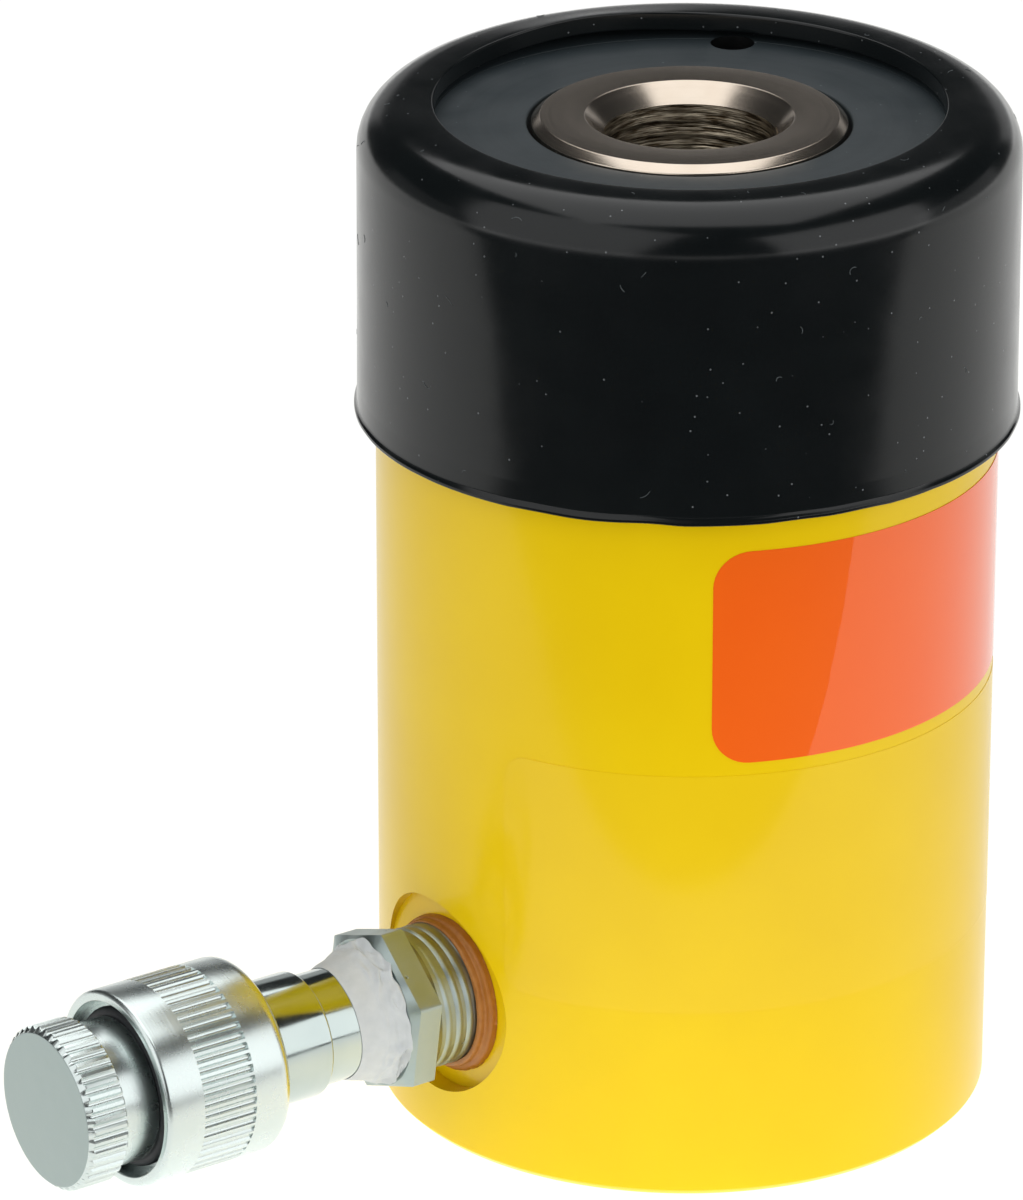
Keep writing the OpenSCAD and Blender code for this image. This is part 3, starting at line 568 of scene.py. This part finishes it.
def drained(r, z, angle):
    # the lift at the back, then the runs and sags of dipping, outside only and always inwards
    rise = max(0, (z - coverFoot) / (coverTop - coverFoot))
    back = 0.5 + 0.5 * cos(angle - radians(cover["liftTurn"]))
    aside = (degrees(angle) - cover["humpTurn"] + 180) % 360 - 180
    hump = cover["hump"] * exp(-(aside / 20) ** 2) * max(0, min(1, (31 - r) / 2.5))
    lifted = z + cover["lift"] * back * rise ** 2 + (hump if rise > 0.9 else 0)
    if r < cover["inside"] + 0.3 and z < coverUnder + 0.1:
        return r, lifted
    wave = 0.5 + 0.5 * noise.noise(Vector((cos(angle) * 1.6, sin(angle) * 1.6, z / 22)))
    low = max(0, 1 - (z - coverFoot) / 2.5)
    edge = noise.noise(Vector((cos(angle) * 5, sin(angle) * 5, 3)))
    return r - cover["unevenness"] * wave, lifted + low * max(0, edge) * 0.3


protector = spin("dipped_cover", section, cover["columns"], shape=drained, steps=9)
settle(protector, "thread_protector", [vinyl], ["thread_protector"], 60)

# lint on the cover: short bent fibres laid on its outside, every third one on its top
fibre = {"count": 36, "thick": 0.028, "points": 7, "seed": 11, "side": (-215, -30), "rim": (29, 36),
         "reach": 38, "heights": (84, 116), "bend": 0.6, "steps": (0.08, 0.26)}
chance = random.Random(fibre["seed"])
coverPoints = [v.co for v in protector.data.vertices]
surface = BVHTree.FromPolygons(coverPoints, [p.vertices for p in protector.data.polygons])
form = bmesh.new()
for i in range(fibre["count"]):
    onTop = i % 3 == 0
    angle = radians(chance.uniform(-180, 180) if onTop else chance.uniform(*fibre["side"]))
    reach = chance.uniform(*fibre["rim"]) if onTop else fibre["reach"]
    z = coverTop + 2 if onTop else chance.uniform(*fibre["heights"])
    spot = Vector((reach * cos(angle), reach * sin(angle), z)) * mm
    heading = Vector((chance.gauss(0, 1), chance.gauss(0, 1), chance.gauss(0, 1)))
    bend, step, rows = chance.uniform(-fibre["bend"], fibre["bend"]), chance.uniform(*fibre["steps"]), []
    for k in range(fibre["points"]):
        near, normal = surface.find_nearest(spot)[:2]
        ahead = (heading - normal * heading.dot(normal)).normalized()
        aside = normal.cross(ahead)
        middle = near + normal * fibre["thick"] * mm * 0.6
        turns = (0, pi * 2 / 3, pi * 4 / 3)
        ways = [aside * cos(a) + normal * sin(a) for a in turns]
        rows.append([form.verts.new(middle + way * fibre["thick"] * mm) for way in ways])
        heading, spot = ahead + aside * bend, near + ahead * step * mm
    skinRows(form, rows)
settle(newPiece("cover_lint", form), "thread_protector", [lint])
print("cover made")


# stop ring, wiper and lock screw
ring = {"columns": 192, "skirt": 21.3, "hole": 18.0, "bushStart": 87.8, "bushEnd": 103.9, "bushRadius": 19.3,
        "wiperStart": 110.0, "wiperEnd": 114.0, "wiperRadius": 20.4, "lip": 17.65}
ringTop, ringFoot = ringSize["top"], ringSize["foot"]
section = [
    (ring["hole"], ringFoot, 0.3), (ring["skirt"], ringFoot, 0.3), (ring["skirt"], shell["ringStart"]),
    (ringSize["r"], shell["ringStart"]), (ringSize["r"], ringTop, 0.05), (ring["hole"], ringTop, 0.3),
    (ring["hole"], ring["wiperEnd"]), (ring["wiperRadius"], ring["wiperEnd"]),
    (ring["wiperRadius"], ring["wiperStart"]), (ring["hole"], ring["wiperStart"]),
    (ring["hole"], ring["bushEnd"]), (ring["bushRadius"], ring["bushEnd"]),
    (ring["bushRadius"], ring["bushStart"]), (ring["hole"], ring["bushStart"])]
stopRing = spin("stop_ring_turned", section, ring["columns"])
carve(stopRing, [lockCutter()])
settle(stopRing, "cylinder", [blackOxide, lockHoleShade], ["stop_ring"])
# the walls of the lock screw's hole in the ring take the near-black painted shade
for polygon in stopRing.data.polygons:
    x, y, z = polygon.center
    nearLock = hypot(x - lockX, y - lockY) < (shell["lockRadius"] + 0.05) * mm
    polygon.material_index = 1 if nearLock and z < (ringTop - 0.1) * mm else 0

wiper = upright("wiper_ring")
wiperHole, lipHeight = ring["hole"] + 0.05, wiper["top"] - wiper["foot"]
section = [
    (wiperHole, wiper["foot"], 0.15), (wiper["r"], wiper["foot"], 0.2), (wiper["r"], wiper["top"], 0.2),
    (wiperHole, wiper["top"], 0.15), (ring["lip"], wiper["foot"] + lipHeight * 0.8, 0.08),
    (wiperHole, wiper["foot"] + lipHeight * 0.45, 0.2)]
settle(spin("wiper_moulded", section, 160), "cylinder", [rubber], ["wiper_ring"])

screw = {"radius": 2.45, "socket": 1.25 / cos(radians(30)), "cup": 0.35, "point": 0.4}
screwTop, screwFoot = screwHigh[2] / mm, screwLow[2] / mm
section = [
    (0, screwFoot), (screw["radius"] - screw["point"], screwFoot),
    (screw["radius"], screwFoot + screw["point"]), (screw["radius"], screwTop, screw["cup"]), (0, screwTop)]
lockScrew = spin("lock_screw_set", section, 60, lockPlace)
carve(lockScrew, [rod(screw["socket"], (screwTop + screwFoot) / 2, screwTop + 1, lockPlace, 6)])
# the set screw takes the near-black painted shade of the hole it sits in
settle(lockScrew, "cylinder", [lockHoleShade], ["lock_screw"])
print("ring made")


# plunger with its piston head, and the thread in its end
plunger = {"columns": 224, "rod": 17.55, "bevel": 1.0, "bevelHeight": 0.8, "headBevel": 0.6, "headTop": 45.0,
           "tubeRun": 12.8, "mouth": 11.63, "thread": 9.525, "threadFoot": 100.0, "pitch": 1.5875,
           "ridge": 0.16, "seal": (32.3, 38.05), "sealOut": 3.6, "sealIn": 2.3,
           "wear": (39.95, 43.25), "wearDeep": 2.0}
rodTop, headFoot, headRadius = rodSize["top"], rodSize["foot"], rodSize["r"]
threadTop = rodTop - plunger["mouth"] + plunger["thread"]


def groove(radius, depth, low, high):
    # four corners of a square groove, from its low edge up
    return [(radius, low), (radius + depth, low), (radius + depth, high), (radius, high)]


section = [
    (plunger["tubeRun"], headFoot), (headRadius - plunger["headBevel"], headFoot),
    (headRadius, headFoot + plunger["headBevel"]),
    *groove(headRadius, -plunger["sealOut"], *plunger["seal"]),
    *groove(headRadius, -plunger["wearDeep"], *plunger["wear"]),
    (headRadius, plunger["headTop"] - plunger["headBevel"]),
    (headRadius - plunger["headBevel"], plunger["headTop"]),
    (plunger["rod"], plunger["headTop"], 0.4), (plunger["rod"], rodTop - plunger["bevelHeight"], 0.25),
    (plunger["rod"] - plunger["bevel"], rodTop, 0.2), (plunger["mouth"], rodTop, 0.18),
    (plunger["thread"], threadTop), (plunger["thread"], plunger["threadFoot"]),
    (plunger["tubeRun"], plunger["threadFoot"]),
    *groove(plunger["tubeRun"], plunger["wearDeep"], *plunger["wear"])[::-1],
    *groove(plunger["tubeRun"], plunger["sealIn"], *plunger["seal"])[::-1]]
plungerRod = spin("plunger_turned", section, plunger["columns"])
settle(plungerRod, "plunger", [nickel, tapped], ["plunger"])
for polygon in plungerRod.data.polygons:
    polygon.material_index = 1 if hypot(*polygon.center[:2]) < (plunger["thread"] + 0.05) * mm else 0
plungerThread = threadRidge("plunger_thread", plunger["thread"], -plunger["ridge"], plunger["pitch"],
                            plunger["threadFoot"] + 0.8, threadTop - plunger["threadFoot"] - 1.3,
                            perTurn=112)
settle(plungerThread, "plunger", [tapped], sharp=80)

tube = {"bore": 9.8, "foot": 16.5, "footHeight": 5.0, "wall": 12.7}
section = [
    (tube["bore"], 0, 0.4), (tube["foot"], 0, 0.25), (tube["foot"], tube["footHeight"]),
    (tube["wall"], tube["footHeight"]), (tube["wall"], tubeSize["top"], 0.3),
    (tube["bore"], tubeSize["top"], 0.3)]
settle(spin("center_tube_turned", section, 160), "cylinder", [ground], ["center_tube"])

# return spring, with a mesh of its own; the real spring shortens as the plunger comes out
coil = {"wire": 4.0, "turns": 4}
coilSpring = wireCoil("return_coil", coilSize["r"] - coil["wire"] / 2, coil["wire"], coil["turns"],
                      coilSize["foot"], coilSize["top"] - coilSize["foot"])
settle(coilSpring, "cylinder", [springWire], ["return_spring"])
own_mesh(coilSpring)
print("plunger made")


# adaptor: threaded neck, hexagon with turned corners
adaptor = {"columns": 288, "neck": 8.0, "bore": 4.0, "socket": 6.75, "socketFoot": 33.625, "turn": -9,
           "flat": 8.75, "hexBack": 39.425, "hexFront": 43.625, "bevel": 0.68, "land": 0.25,
           "neckBevel": 0.7, "pitch": 1.411, "ridge": 0.13}
corner = adaptor["flat"] / cos(radians(30))
hexLand = adaptor["flat"] - adaptor["land"]
section = [
    (adaptor["bore"], adaptorSize["back"]), (adaptor["neck"] - adaptor["neckBevel"], adaptorSize["back"]),
    (adaptor["neck"], adaptorSize["back"] + adaptor["neckBevel"]),
    (adaptor["neck"], adaptor["hexBack"], 0.3), (hexLand, adaptor["hexBack"]),
    (corner, adaptor["hexBack"] + adaptor["bevel"]),
    (corner, adaptor["hexFront"] - adaptor["bevel"]), (hexLand, adaptor["hexFront"]),
    (adaptor["socket"], adaptor["hexFront"], 0.3), (adaptor["socket"], adaptor["socketFoot"]),
    (adaptor["bore"], adaptor["socketFoot"])]


def hexSide(r, z, angle):
    # trims the turned blank to six flats with a small corner radius
    if r < adaptor["neck"] + 0.05:
        return r, z
    part = (degrees(angle) - adaptor["turn"]) % 60 - 30
    return min(r, adaptor["flat"] / cos(radians(part)), corner - 0.06), z


hexagon = spin("adaptor_hex", section, adaptor["columns"], alongPort, hexSide, radians(adaptor["turn"]))
settle(hexagon, "cylinder", [zincFace], ["port_adaptor"], 20)
neckThread = threadRidge("neck_thread", adaptor["neck"], adaptor["ridge"], adaptor["pitch"],
                         shell["spotFace"] - 1.2, adaptor["hexBack"] - shell["spotFace"] + 0.2,
                         alongPort, 96)
settle(neckThread, "cylinder", [zincFace], sharp=80)

# sealant: a smooth outer lip and a paler inner one, thin along the top where it was wiped
bead = {"columns": 224, "inside": 8.05, "groove": 8.75, "wiped": 0.85, "wipedTurn": 15, "wipedSpread": 55,
        "dripTurn": -150, "dripSpread": 25}
beadBack, beadFront, beadRim = beadSize["back"], beadSize["front"], beadSize["r"]
section = [
    (bead["inside"], beadBack), (beadRim + 0.05, beadBack), (beadRim + 0.05, beadBack + 0.04),
    (beadRim, beadBack + 0.08), (beadRim, beadBack + 0.8, 0.5), (bead["groove"] + 0.1, beadBack + 1.0, 0.15),
    (bead["groove"] - 0.05, beadBack + 1.15, 0.15), (bead["groove"], beadFront - 0.15, 0.3),
    (bead["inside"], beadFront, 0.25)]


def squeezed(r, z, angle):
    if r < bead["inside"] + 0.1:
        return r, z
    turn = (degrees(angle) + 180) % 360 - 180
    spot = Vector((cos(angle) * 4, sin(angle) * 4, z * 1.3))
    ragged = noise.noise(spot * 4) * 0.12 + noise.noise(spot * 1.5) * 0.1 + noise.noise(spot * 0.5) * 0.12
    wiped = bead["wiped"] * exp(-((turn - bead["wipedTurn"]) / bead["wipedSpread"]) ** 2)
    low = exp(-((turn - bead["dripTurn"]) / bead["dripSpread"]) ** 2)
    out = (r - bead["inside"]) / (beadRim - bead["inside"])
    rim = r + (ragged * (0.35 + 0.65 * low) - wiped) * out
    swell = 0 if r > beadRim + 0.01 else noise.noise(spot + Vector((7, 1, 3))) * (0.1 + 0.2 * low)
    return rim, z + swell


lips = spin("sealant_bead", section, bead["columns"], alongPort, squeezed, steps=6)
settle(lips, "cylinder", [sealant, sealantThin], ["port_sealant"], 70)
for polygon in lips.data.polygons:
    radius = hypot(polygon.center.y, polygon.center.z - portHeight) / mm
    polygon.material_index = 1 if radius < bead["groove"] + 0.2 or radius > beadRim + 0.3 else 0

# paste: a smooth cone against the hexagon with a clean edge on the stem, folded where the finger left it
smear = {"columns": 240, "rows": 60, "inside": 6.43, "edge": 6.46, "rim": 8.05, "fold": 0.8,
         "foldTurns": (-112, -18), "foldSpread": 34}
pasteBack, pasteFront = pasteSize["back"], pasteSize["front"]
shares = [k / smear["rows"] for k in range(smear["rows"] + 1)]
slope = [Vector((smear["rim"] + (smear["edge"] - smear["rim"]) * t ** 0.9,
                 pasteBack + (pasteFront - pasteBack) * t)) for t in shares]
section = [Vector((smear["inside"], pasteBack)), *slope, Vector((smear["inside"], pasteFront))]


def smeared(r, z, angle):
    atStem = r < smear["inside"] + 0.001
    if atStem and z < pasteFront - 0.1:
        return r, z
    t = (z - pasteBack) / (pasteFront - pasteBack)
    turn = (degrees(angle) + 180) % 360 - 180
    where = 0.45 + sum(exp(-((turn - at) / smear["foldSpread"]) ** 2) for at in smear["foldTurns"])
    around = Vector((cos(angle), sin(angle), 0))
    crease = 1 - abs(noise.noise(around * 2.4 + Vector((0, 0, z * 0.85)))) * 3.2
    clot = noise.noise(around * 5 + Vector((0, 0, z * 1.6)))
    near = max(0, 1 - t / 0.5)
    swell = 0.2 * noise.noise(around * 1.7 + Vector((3, 0, z * 0.4)))
    lump = (smear["fold"] * max(0, crease) + 0.5 * clot) * where * near + swell
    wander = 0.5 * noise.noise(around * 1.1 + Vector((0, 0, 5))) * t ** 3
    if atStem:
        return r, z + wander
    return r + lump * min(1, (r - smear["inside"]) / 0.3), z + wander


pasteCollar = spin("paste_collar", section, smear["columns"], alongPort, smeared)
settle(pasteCollar, "cylinder", [paste], ["thread_sealant"], 80)
print("port made")


# coupler body, its clip and seal
coupler = {"columns": 128, "stem": 6.4, "stemBevel": 0.5, "barrel": 7.2, "barrelStart": 53.025,
           "flange": 8.1, "flangeStart": 64.125, "nose": 6.2, "noseStart": 66.125, "noseBore": 2.5,
           "bore": 2.6, "chamber": 4.2, "guideStart": 50.125, "seatStart": 64.425,
           "noseGroove": (67.075, 68.775), "noseRoot": 5.4, "clipGroove": (59.525, 60.825), "clipRoot": 6.6}
section = [
    (coupler["bore"], couplerSize["back"]), (coupler["stem"] - coupler["stemBevel"], couplerSize["back"]),
    (coupler["stem"], couplerSize["back"] + coupler["stemBevel"]),
    (coupler["stem"], coupler["barrelStart"], 0.12), (coupler["barrel"], coupler["barrelStart"], 0.35),
    *groove(coupler["barrel"], coupler["clipRoot"] - coupler["barrel"], *coupler["clipGroove"]),
    (coupler["barrel"], coupler["flangeStart"]), (coupler["flange"], coupler["flangeStart"], 0.2),
    (coupler["flange"], coupler["noseStart"], 0.25), (coupler["nose"], coupler["noseStart"], 0.15),
    *groove(coupler["nose"], coupler["noseRoot"] - coupler["nose"], *coupler["noseGroove"]),
    (coupler["nose"], couplerSize["front"], 0.3), (coupler["noseBore"], couplerSize["front"], 0.25),
    (coupler["noseBore"], coupler["noseStart"]), (coupler["chamber"], coupler["seatStart"]),
    (coupler["chamber"], coupler["guideStart"]), (coupler["bore"], coupler["guideStart"])]
couplerTurned = spin("coupler_turned", section, coupler["columns"], alongPort)
settle(couplerTurned, "cylinder", [zinc], ["coupler_body"])


def cordRing(name, node, columns=128, sides=20):
    size = sideways(node)
    half = (size["front"] - size["back"]) / 2
    middle = size["back"] + half
    turns = [2 * pi * k / sides for k in range(sides)]
    loop = [Vector((size["r"] - half + half * cos(b), middle + half * sin(b))) for b in turns]
    return spin(name, loop, columns, alongPort)


settle(cordRing("clip_wire", "sleeve_clip"), "cylinder", [springWire], ["sleeve_clip"])
settle(cordRing("nose_cord", "nose_seal"), "cylinder", [rubber], ["nose_seal"])
settle(cordRing("plug_cord", "plug_seal"), "plug_seal", [rubber], ["plug_seal"])

# sleeve: smooth bands either side of a straight knurl, threaded mouth with a recess
flute = {"width": 0.84, "depth": 0.36, "columns": 14}
chord = (flute["width"] ** 2 / 4 + flute["depth"] ** 2) / (2 * flute["depth"])


def fluteDepth(angle, count, radius):
    step = 2 * pi / count
    off = ((angle + step / 2) % step - step / 2) * radius
    if abs(off) >= flute["width"] / 2:
        return 0
    return sqrt(chord ** 2 - off ** 2) - chord + flute["depth"]


sleeve = {"flutes": 56, "gripStart": 5.1, "gripLength": 6.7, "rearRound": 1.6, "frontRound": 0.6,
          "rearWall": 3.1, "rearHole": 7.3, "nut": 8.4, "recess": 10.0, "recessDepth": 2.4,
          "pitch": 1.5, "ridge": 0.22}
sleeveBack, sleeveFront, sleeveRadius = sleeveSize["back"], sleeveSize["front"], sleeveSize["r"]
gripBack = sleeveBack + sleeve["gripStart"]
gripFront = gripBack + sleeve["gripLength"]
recessFoot, rearFoot = sleeveFront - sleeve["recessDepth"], sleeveBack + sleeve["rearWall"]
gripRows = (gripBack - 0.3, gripBack - 0.02, gripBack + 0.06, gripBack + 0.3,
            gripFront - 0.3, gripFront - 0.06, gripFront + 0.02, gripFront + 0.3)
section = [
    (sleeve["rearHole"], sleeveBack, 0.25), (sleeveRadius, sleeveBack, sleeve["rearRound"]),
    *[(sleeveRadius, z) for z in gripRows],
    (sleeveRadius, sleeveFront, sleeve["frontRound"]), (sleeve["recess"], sleeveFront, 0.2),
    (sleeve["recess"], recessFoot), (sleeve["nut"], recessFoot, 0.2),
    (sleeve["nut"], rearFoot), (sleeve["rearHole"], rearFoot)]


def knurled(r, z, angle):
    if r > sleeveRadius - 0.001 and gripBack < z < gripFront:
        return r - fluteDepth(angle, sleeve["flutes"], sleeveRadius), z
    return r, z


sleeveKnurled = spin("sleeve_knurled", section, sleeve["flutes"] * flute["columns"], alongPort, knurled,
                     steps=6)
settle(sleeveKnurled, "coupler_sleeve", [zincSatin], ["coupler_sleeve"], 28)
sleeveThread = threadRidge("sleeve_thread", sleeve["nut"], -sleeve["ridge"], sleeve["pitch"],
                           couplerSize["front"] - 2.0, recessFoot - couplerSize["front"] + 1.3,
                           alongPort, 96)
settle(sleeveThread, "coupler_sleeve", [zinc])

# dust plug: knurled knob, smooth shank, thread
plug = {"flutes": 44, "knob": 9.35, "knobHeight": 4.9, "bevel": 0.65, "shank": 8.2, "step": 74.925,
        "hollow": 3.0, "hollowDepth": 4.3, "grooveRoot": 7.4, "threadRoot": 7.5, "pitch": 1.5, "ridge": 0.62}
plugBack, plugFront = plugSize["back"], plugSize["front"]
knobBack, hollowFoot = plugFront - plug["knobHeight"], plugBack + plug["hollowDepth"]
cordSize = sideways("plug_seal")
cordLow, cordHigh = cordSize["back"] - 0.1, cordSize["front"] + 0.1
section = [
    (0, hollowFoot), (plug["hollow"], hollowFoot), (plug["hollow"], plugBack, 0.2),
    (plug["threadRoot"], plugBack, 0.4), (plug["threadRoot"], plug["step"]), (plug["shank"], plug["step"]),
    *groove(plug["shank"], plug["grooveRoot"] - plug["shank"], cordLow, cordHigh),
    (plug["shank"], knobBack, 0.25), (plug["knob"], knobBack, 0.3),
    (plug["knob"], plugFront - plug["bevel"], 0.3), (plug["knob"] - plug["bevel"], plugFront, 0.2),
    (0, plugFront)]


def knobKnurl(r, z, angle):
    if r > plug["knob"] - plug["bevel"] - 0.05 and z > knobBack - 0.01:
        return min(r, plug["knob"] - fluteDepth(angle, plug["flutes"], plug["knob"])), z
    return r, z


knob = spin("plug_knurled", section, plug["flutes"] * flute["columns"], alongPort, knobKnurl)
settle(knob, "dust_plug", [zincSatin, zincFace], ["dust_plug"], 28)
for polygon in knob.data.polygons:
    polygon.material_index = 1 if -polygon.center.x / mm > plugFront - 0.05 else 0
plugThread = threadRidge("plug_thread", plug["threadRoot"], plug["ridge"], plug["pitch"], plugBack + 0.6,
                         plug["step"] - plugBack - 1.2, alongPort, 96)
settle(plugThread, "dust_plug", [zinc])

# valve spring, with a mesh of its own; the real spring shortens as the poppet is pressed
valveCoil = {"wire": 0.7, "turns": 5}
valveSize = sideways("valve_spring")
valveLength = valveSize["front"] - valveSize["back"]
pressCoil = wireCoil("valve_coil", valveSize["r"] - valveCoil["wire"] / 2, valveCoil["wire"],
                     valveCoil["turns"], valveSize["back"], valveLength, 48, 12, alongPort)
settle(pressCoil, "cylinder", [springWire], ["valve_spring"])
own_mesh(pressCoil)
print("coupler made")


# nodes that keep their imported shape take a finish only
finishes = {
    "tube_seal": rubber, "tube_backup_ring": ptfe, "plunger_bush": bronze, "piston_seal": urethane,
    "piston_backup_ring": ptfe, "piston_wear_ring": bronze, "inner_seal": urethane,
    "inner_backup_ring": ptfe, "inner_wear_ring": bronze, "valve_guide": brass, "valve_poppet": brass}
for node, material in finishes.items():
    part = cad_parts[node]
    part.data.materials.clear()
    part.data.materials.append(material)
print("finishes set")


# floor, light and camera
studio = {"floor": 12.0, "worldTone": "#8C9092", "worldLight": 0.1, "lampReach": 1.2, "floorLight": 3.5,
          "front": -125, "cardWide": 2.4, "cardLong": 1.2, "cardStart": 0.117}


def sheet(name, wide, long, place, material):
    form = bmesh.new()
    bmesh.ops.create_grid(form, x_segments=8, y_segments=8, size=0.5)
    bmesh.ops.transform(form, matrix=place @ Matrix.Diagonal((wide, long, 1, 1)), verts=form.verts)
    piece = newPiece(name, form)
    piece.data.materials.append(material)
    return piece


floor = sheet("floor", studio["floor"], studio["floor"], Matrix.Translation((0, 0, -0.0002)), paper)
# a black card in front, out of the picture, that keeps the near floor out of the reflections
toFront = Matrix.Rotation(radians(studio["front"] - 90), 4, "Z")
cardMiddle = Matrix.Translation((0, studio["cardStart"] + studio["cardLong"] / 2, -0.0001))
card = sheet("front_card", studio["cardWide"], studio["cardLong"], toFront @ cardMiddle, blackCard)
card.visible_camera = False

world = bpy.data.worlds.new("studio")
scene.world = world
world.use_nodes = True
sky = world.node_tree.nodes["Background"].inputs
sky["Color"].default_value = linear(studio["worldTone"])
sky["Strength"].default_value = studio["worldLight"]

# the lamps leave the floor out, and the wash lights it alone
offFloor = bpy.data.collections.new("off_floor")
offFloor.objects.link(floor)
offFloor.collection_objects[0].light_linking.link_state = "EXCLUDE"
onFloor = bpy.data.collections.new("on_floor")
onFloor.objects.link(floor)

lights = {  # direction and height in degrees, size in metres, watts
    "soft_left": (187, 27, (1.5, 1.5), 8.0), "soft_right": (-68, 15, (1.3, 1.25), 7.0),
    "overhead": (55, 78, (1.3, 1.68), 11.0), "side_right": (-22, 8, (1.0, 0.5), 0.5),
    "side_left": (130, 8, (0.8, 0.5), 0.2), "back": (50, 8, (1.4, 0.5), 0.9),
    "fill": (-118, 4, (1.0, 0.6), 7.0)}
for name, (turn, lift, size, watts) in lights.items():
    lamp = bpy.data.lights.new(name, "AREA")
    lamp.shape = "RECTANGLE"
    lamp.size, lamp.size_y = size
    lamp.energy = watts
    holder = bpy.data.objects.new(name, lamp)
    turn, lift = radians(turn), radians(lift)
    away = Vector((cos(turn) * cos(lift), sin(turn) * cos(lift), sin(lift)))
    holder.location = away * studio["lampReach"]
    holder.rotation_euler = (-away).to_track_quat("-Z", "Y").to_euler()
    holder.visible_camera = False
    holder.visible_glossy = name != "fill"  # a cross-polarised fill lifts the paint and leaves no reflection
    holder.light_linking.receiver_collection = offFloor
    scene.collection.objects.link(holder)
wash = bpy.data.lights.new("floor_wash", "SUN")  # even, so that the floor stays white from every side
wash.energy = studio["floorLight"]
washHolder = bpy.data.objects.new("floor_wash", wash)
washHolder.light_linking.receiver_collection = onFloor
washHolder.light_linking.blocker_collection = onFloor
scene.collection.objects.link(washHolder)

view = {"spot": (-0.4810, -0.6501, 0.3972), "look": (0.5302, 0.7543, -0.3870), "lens": 232.2}
lensData = bpy.data.cameras.new("camera")
lensData.sensor_fit = "VERTICAL"
lensData.sensor_height = 36
lensData.lens = view["lens"]
camera = bpy.data.objects.new("camera", lensData)
camera.location = view["spot"]
camera.rotation_euler = Vector(view["look"]).to_track_quat("-Z", "Y").to_euler()
scene.collection.objects.link(camera)
scene.camera = camera
scene.view_settings.view_transform = "Standard"
print("studio set")
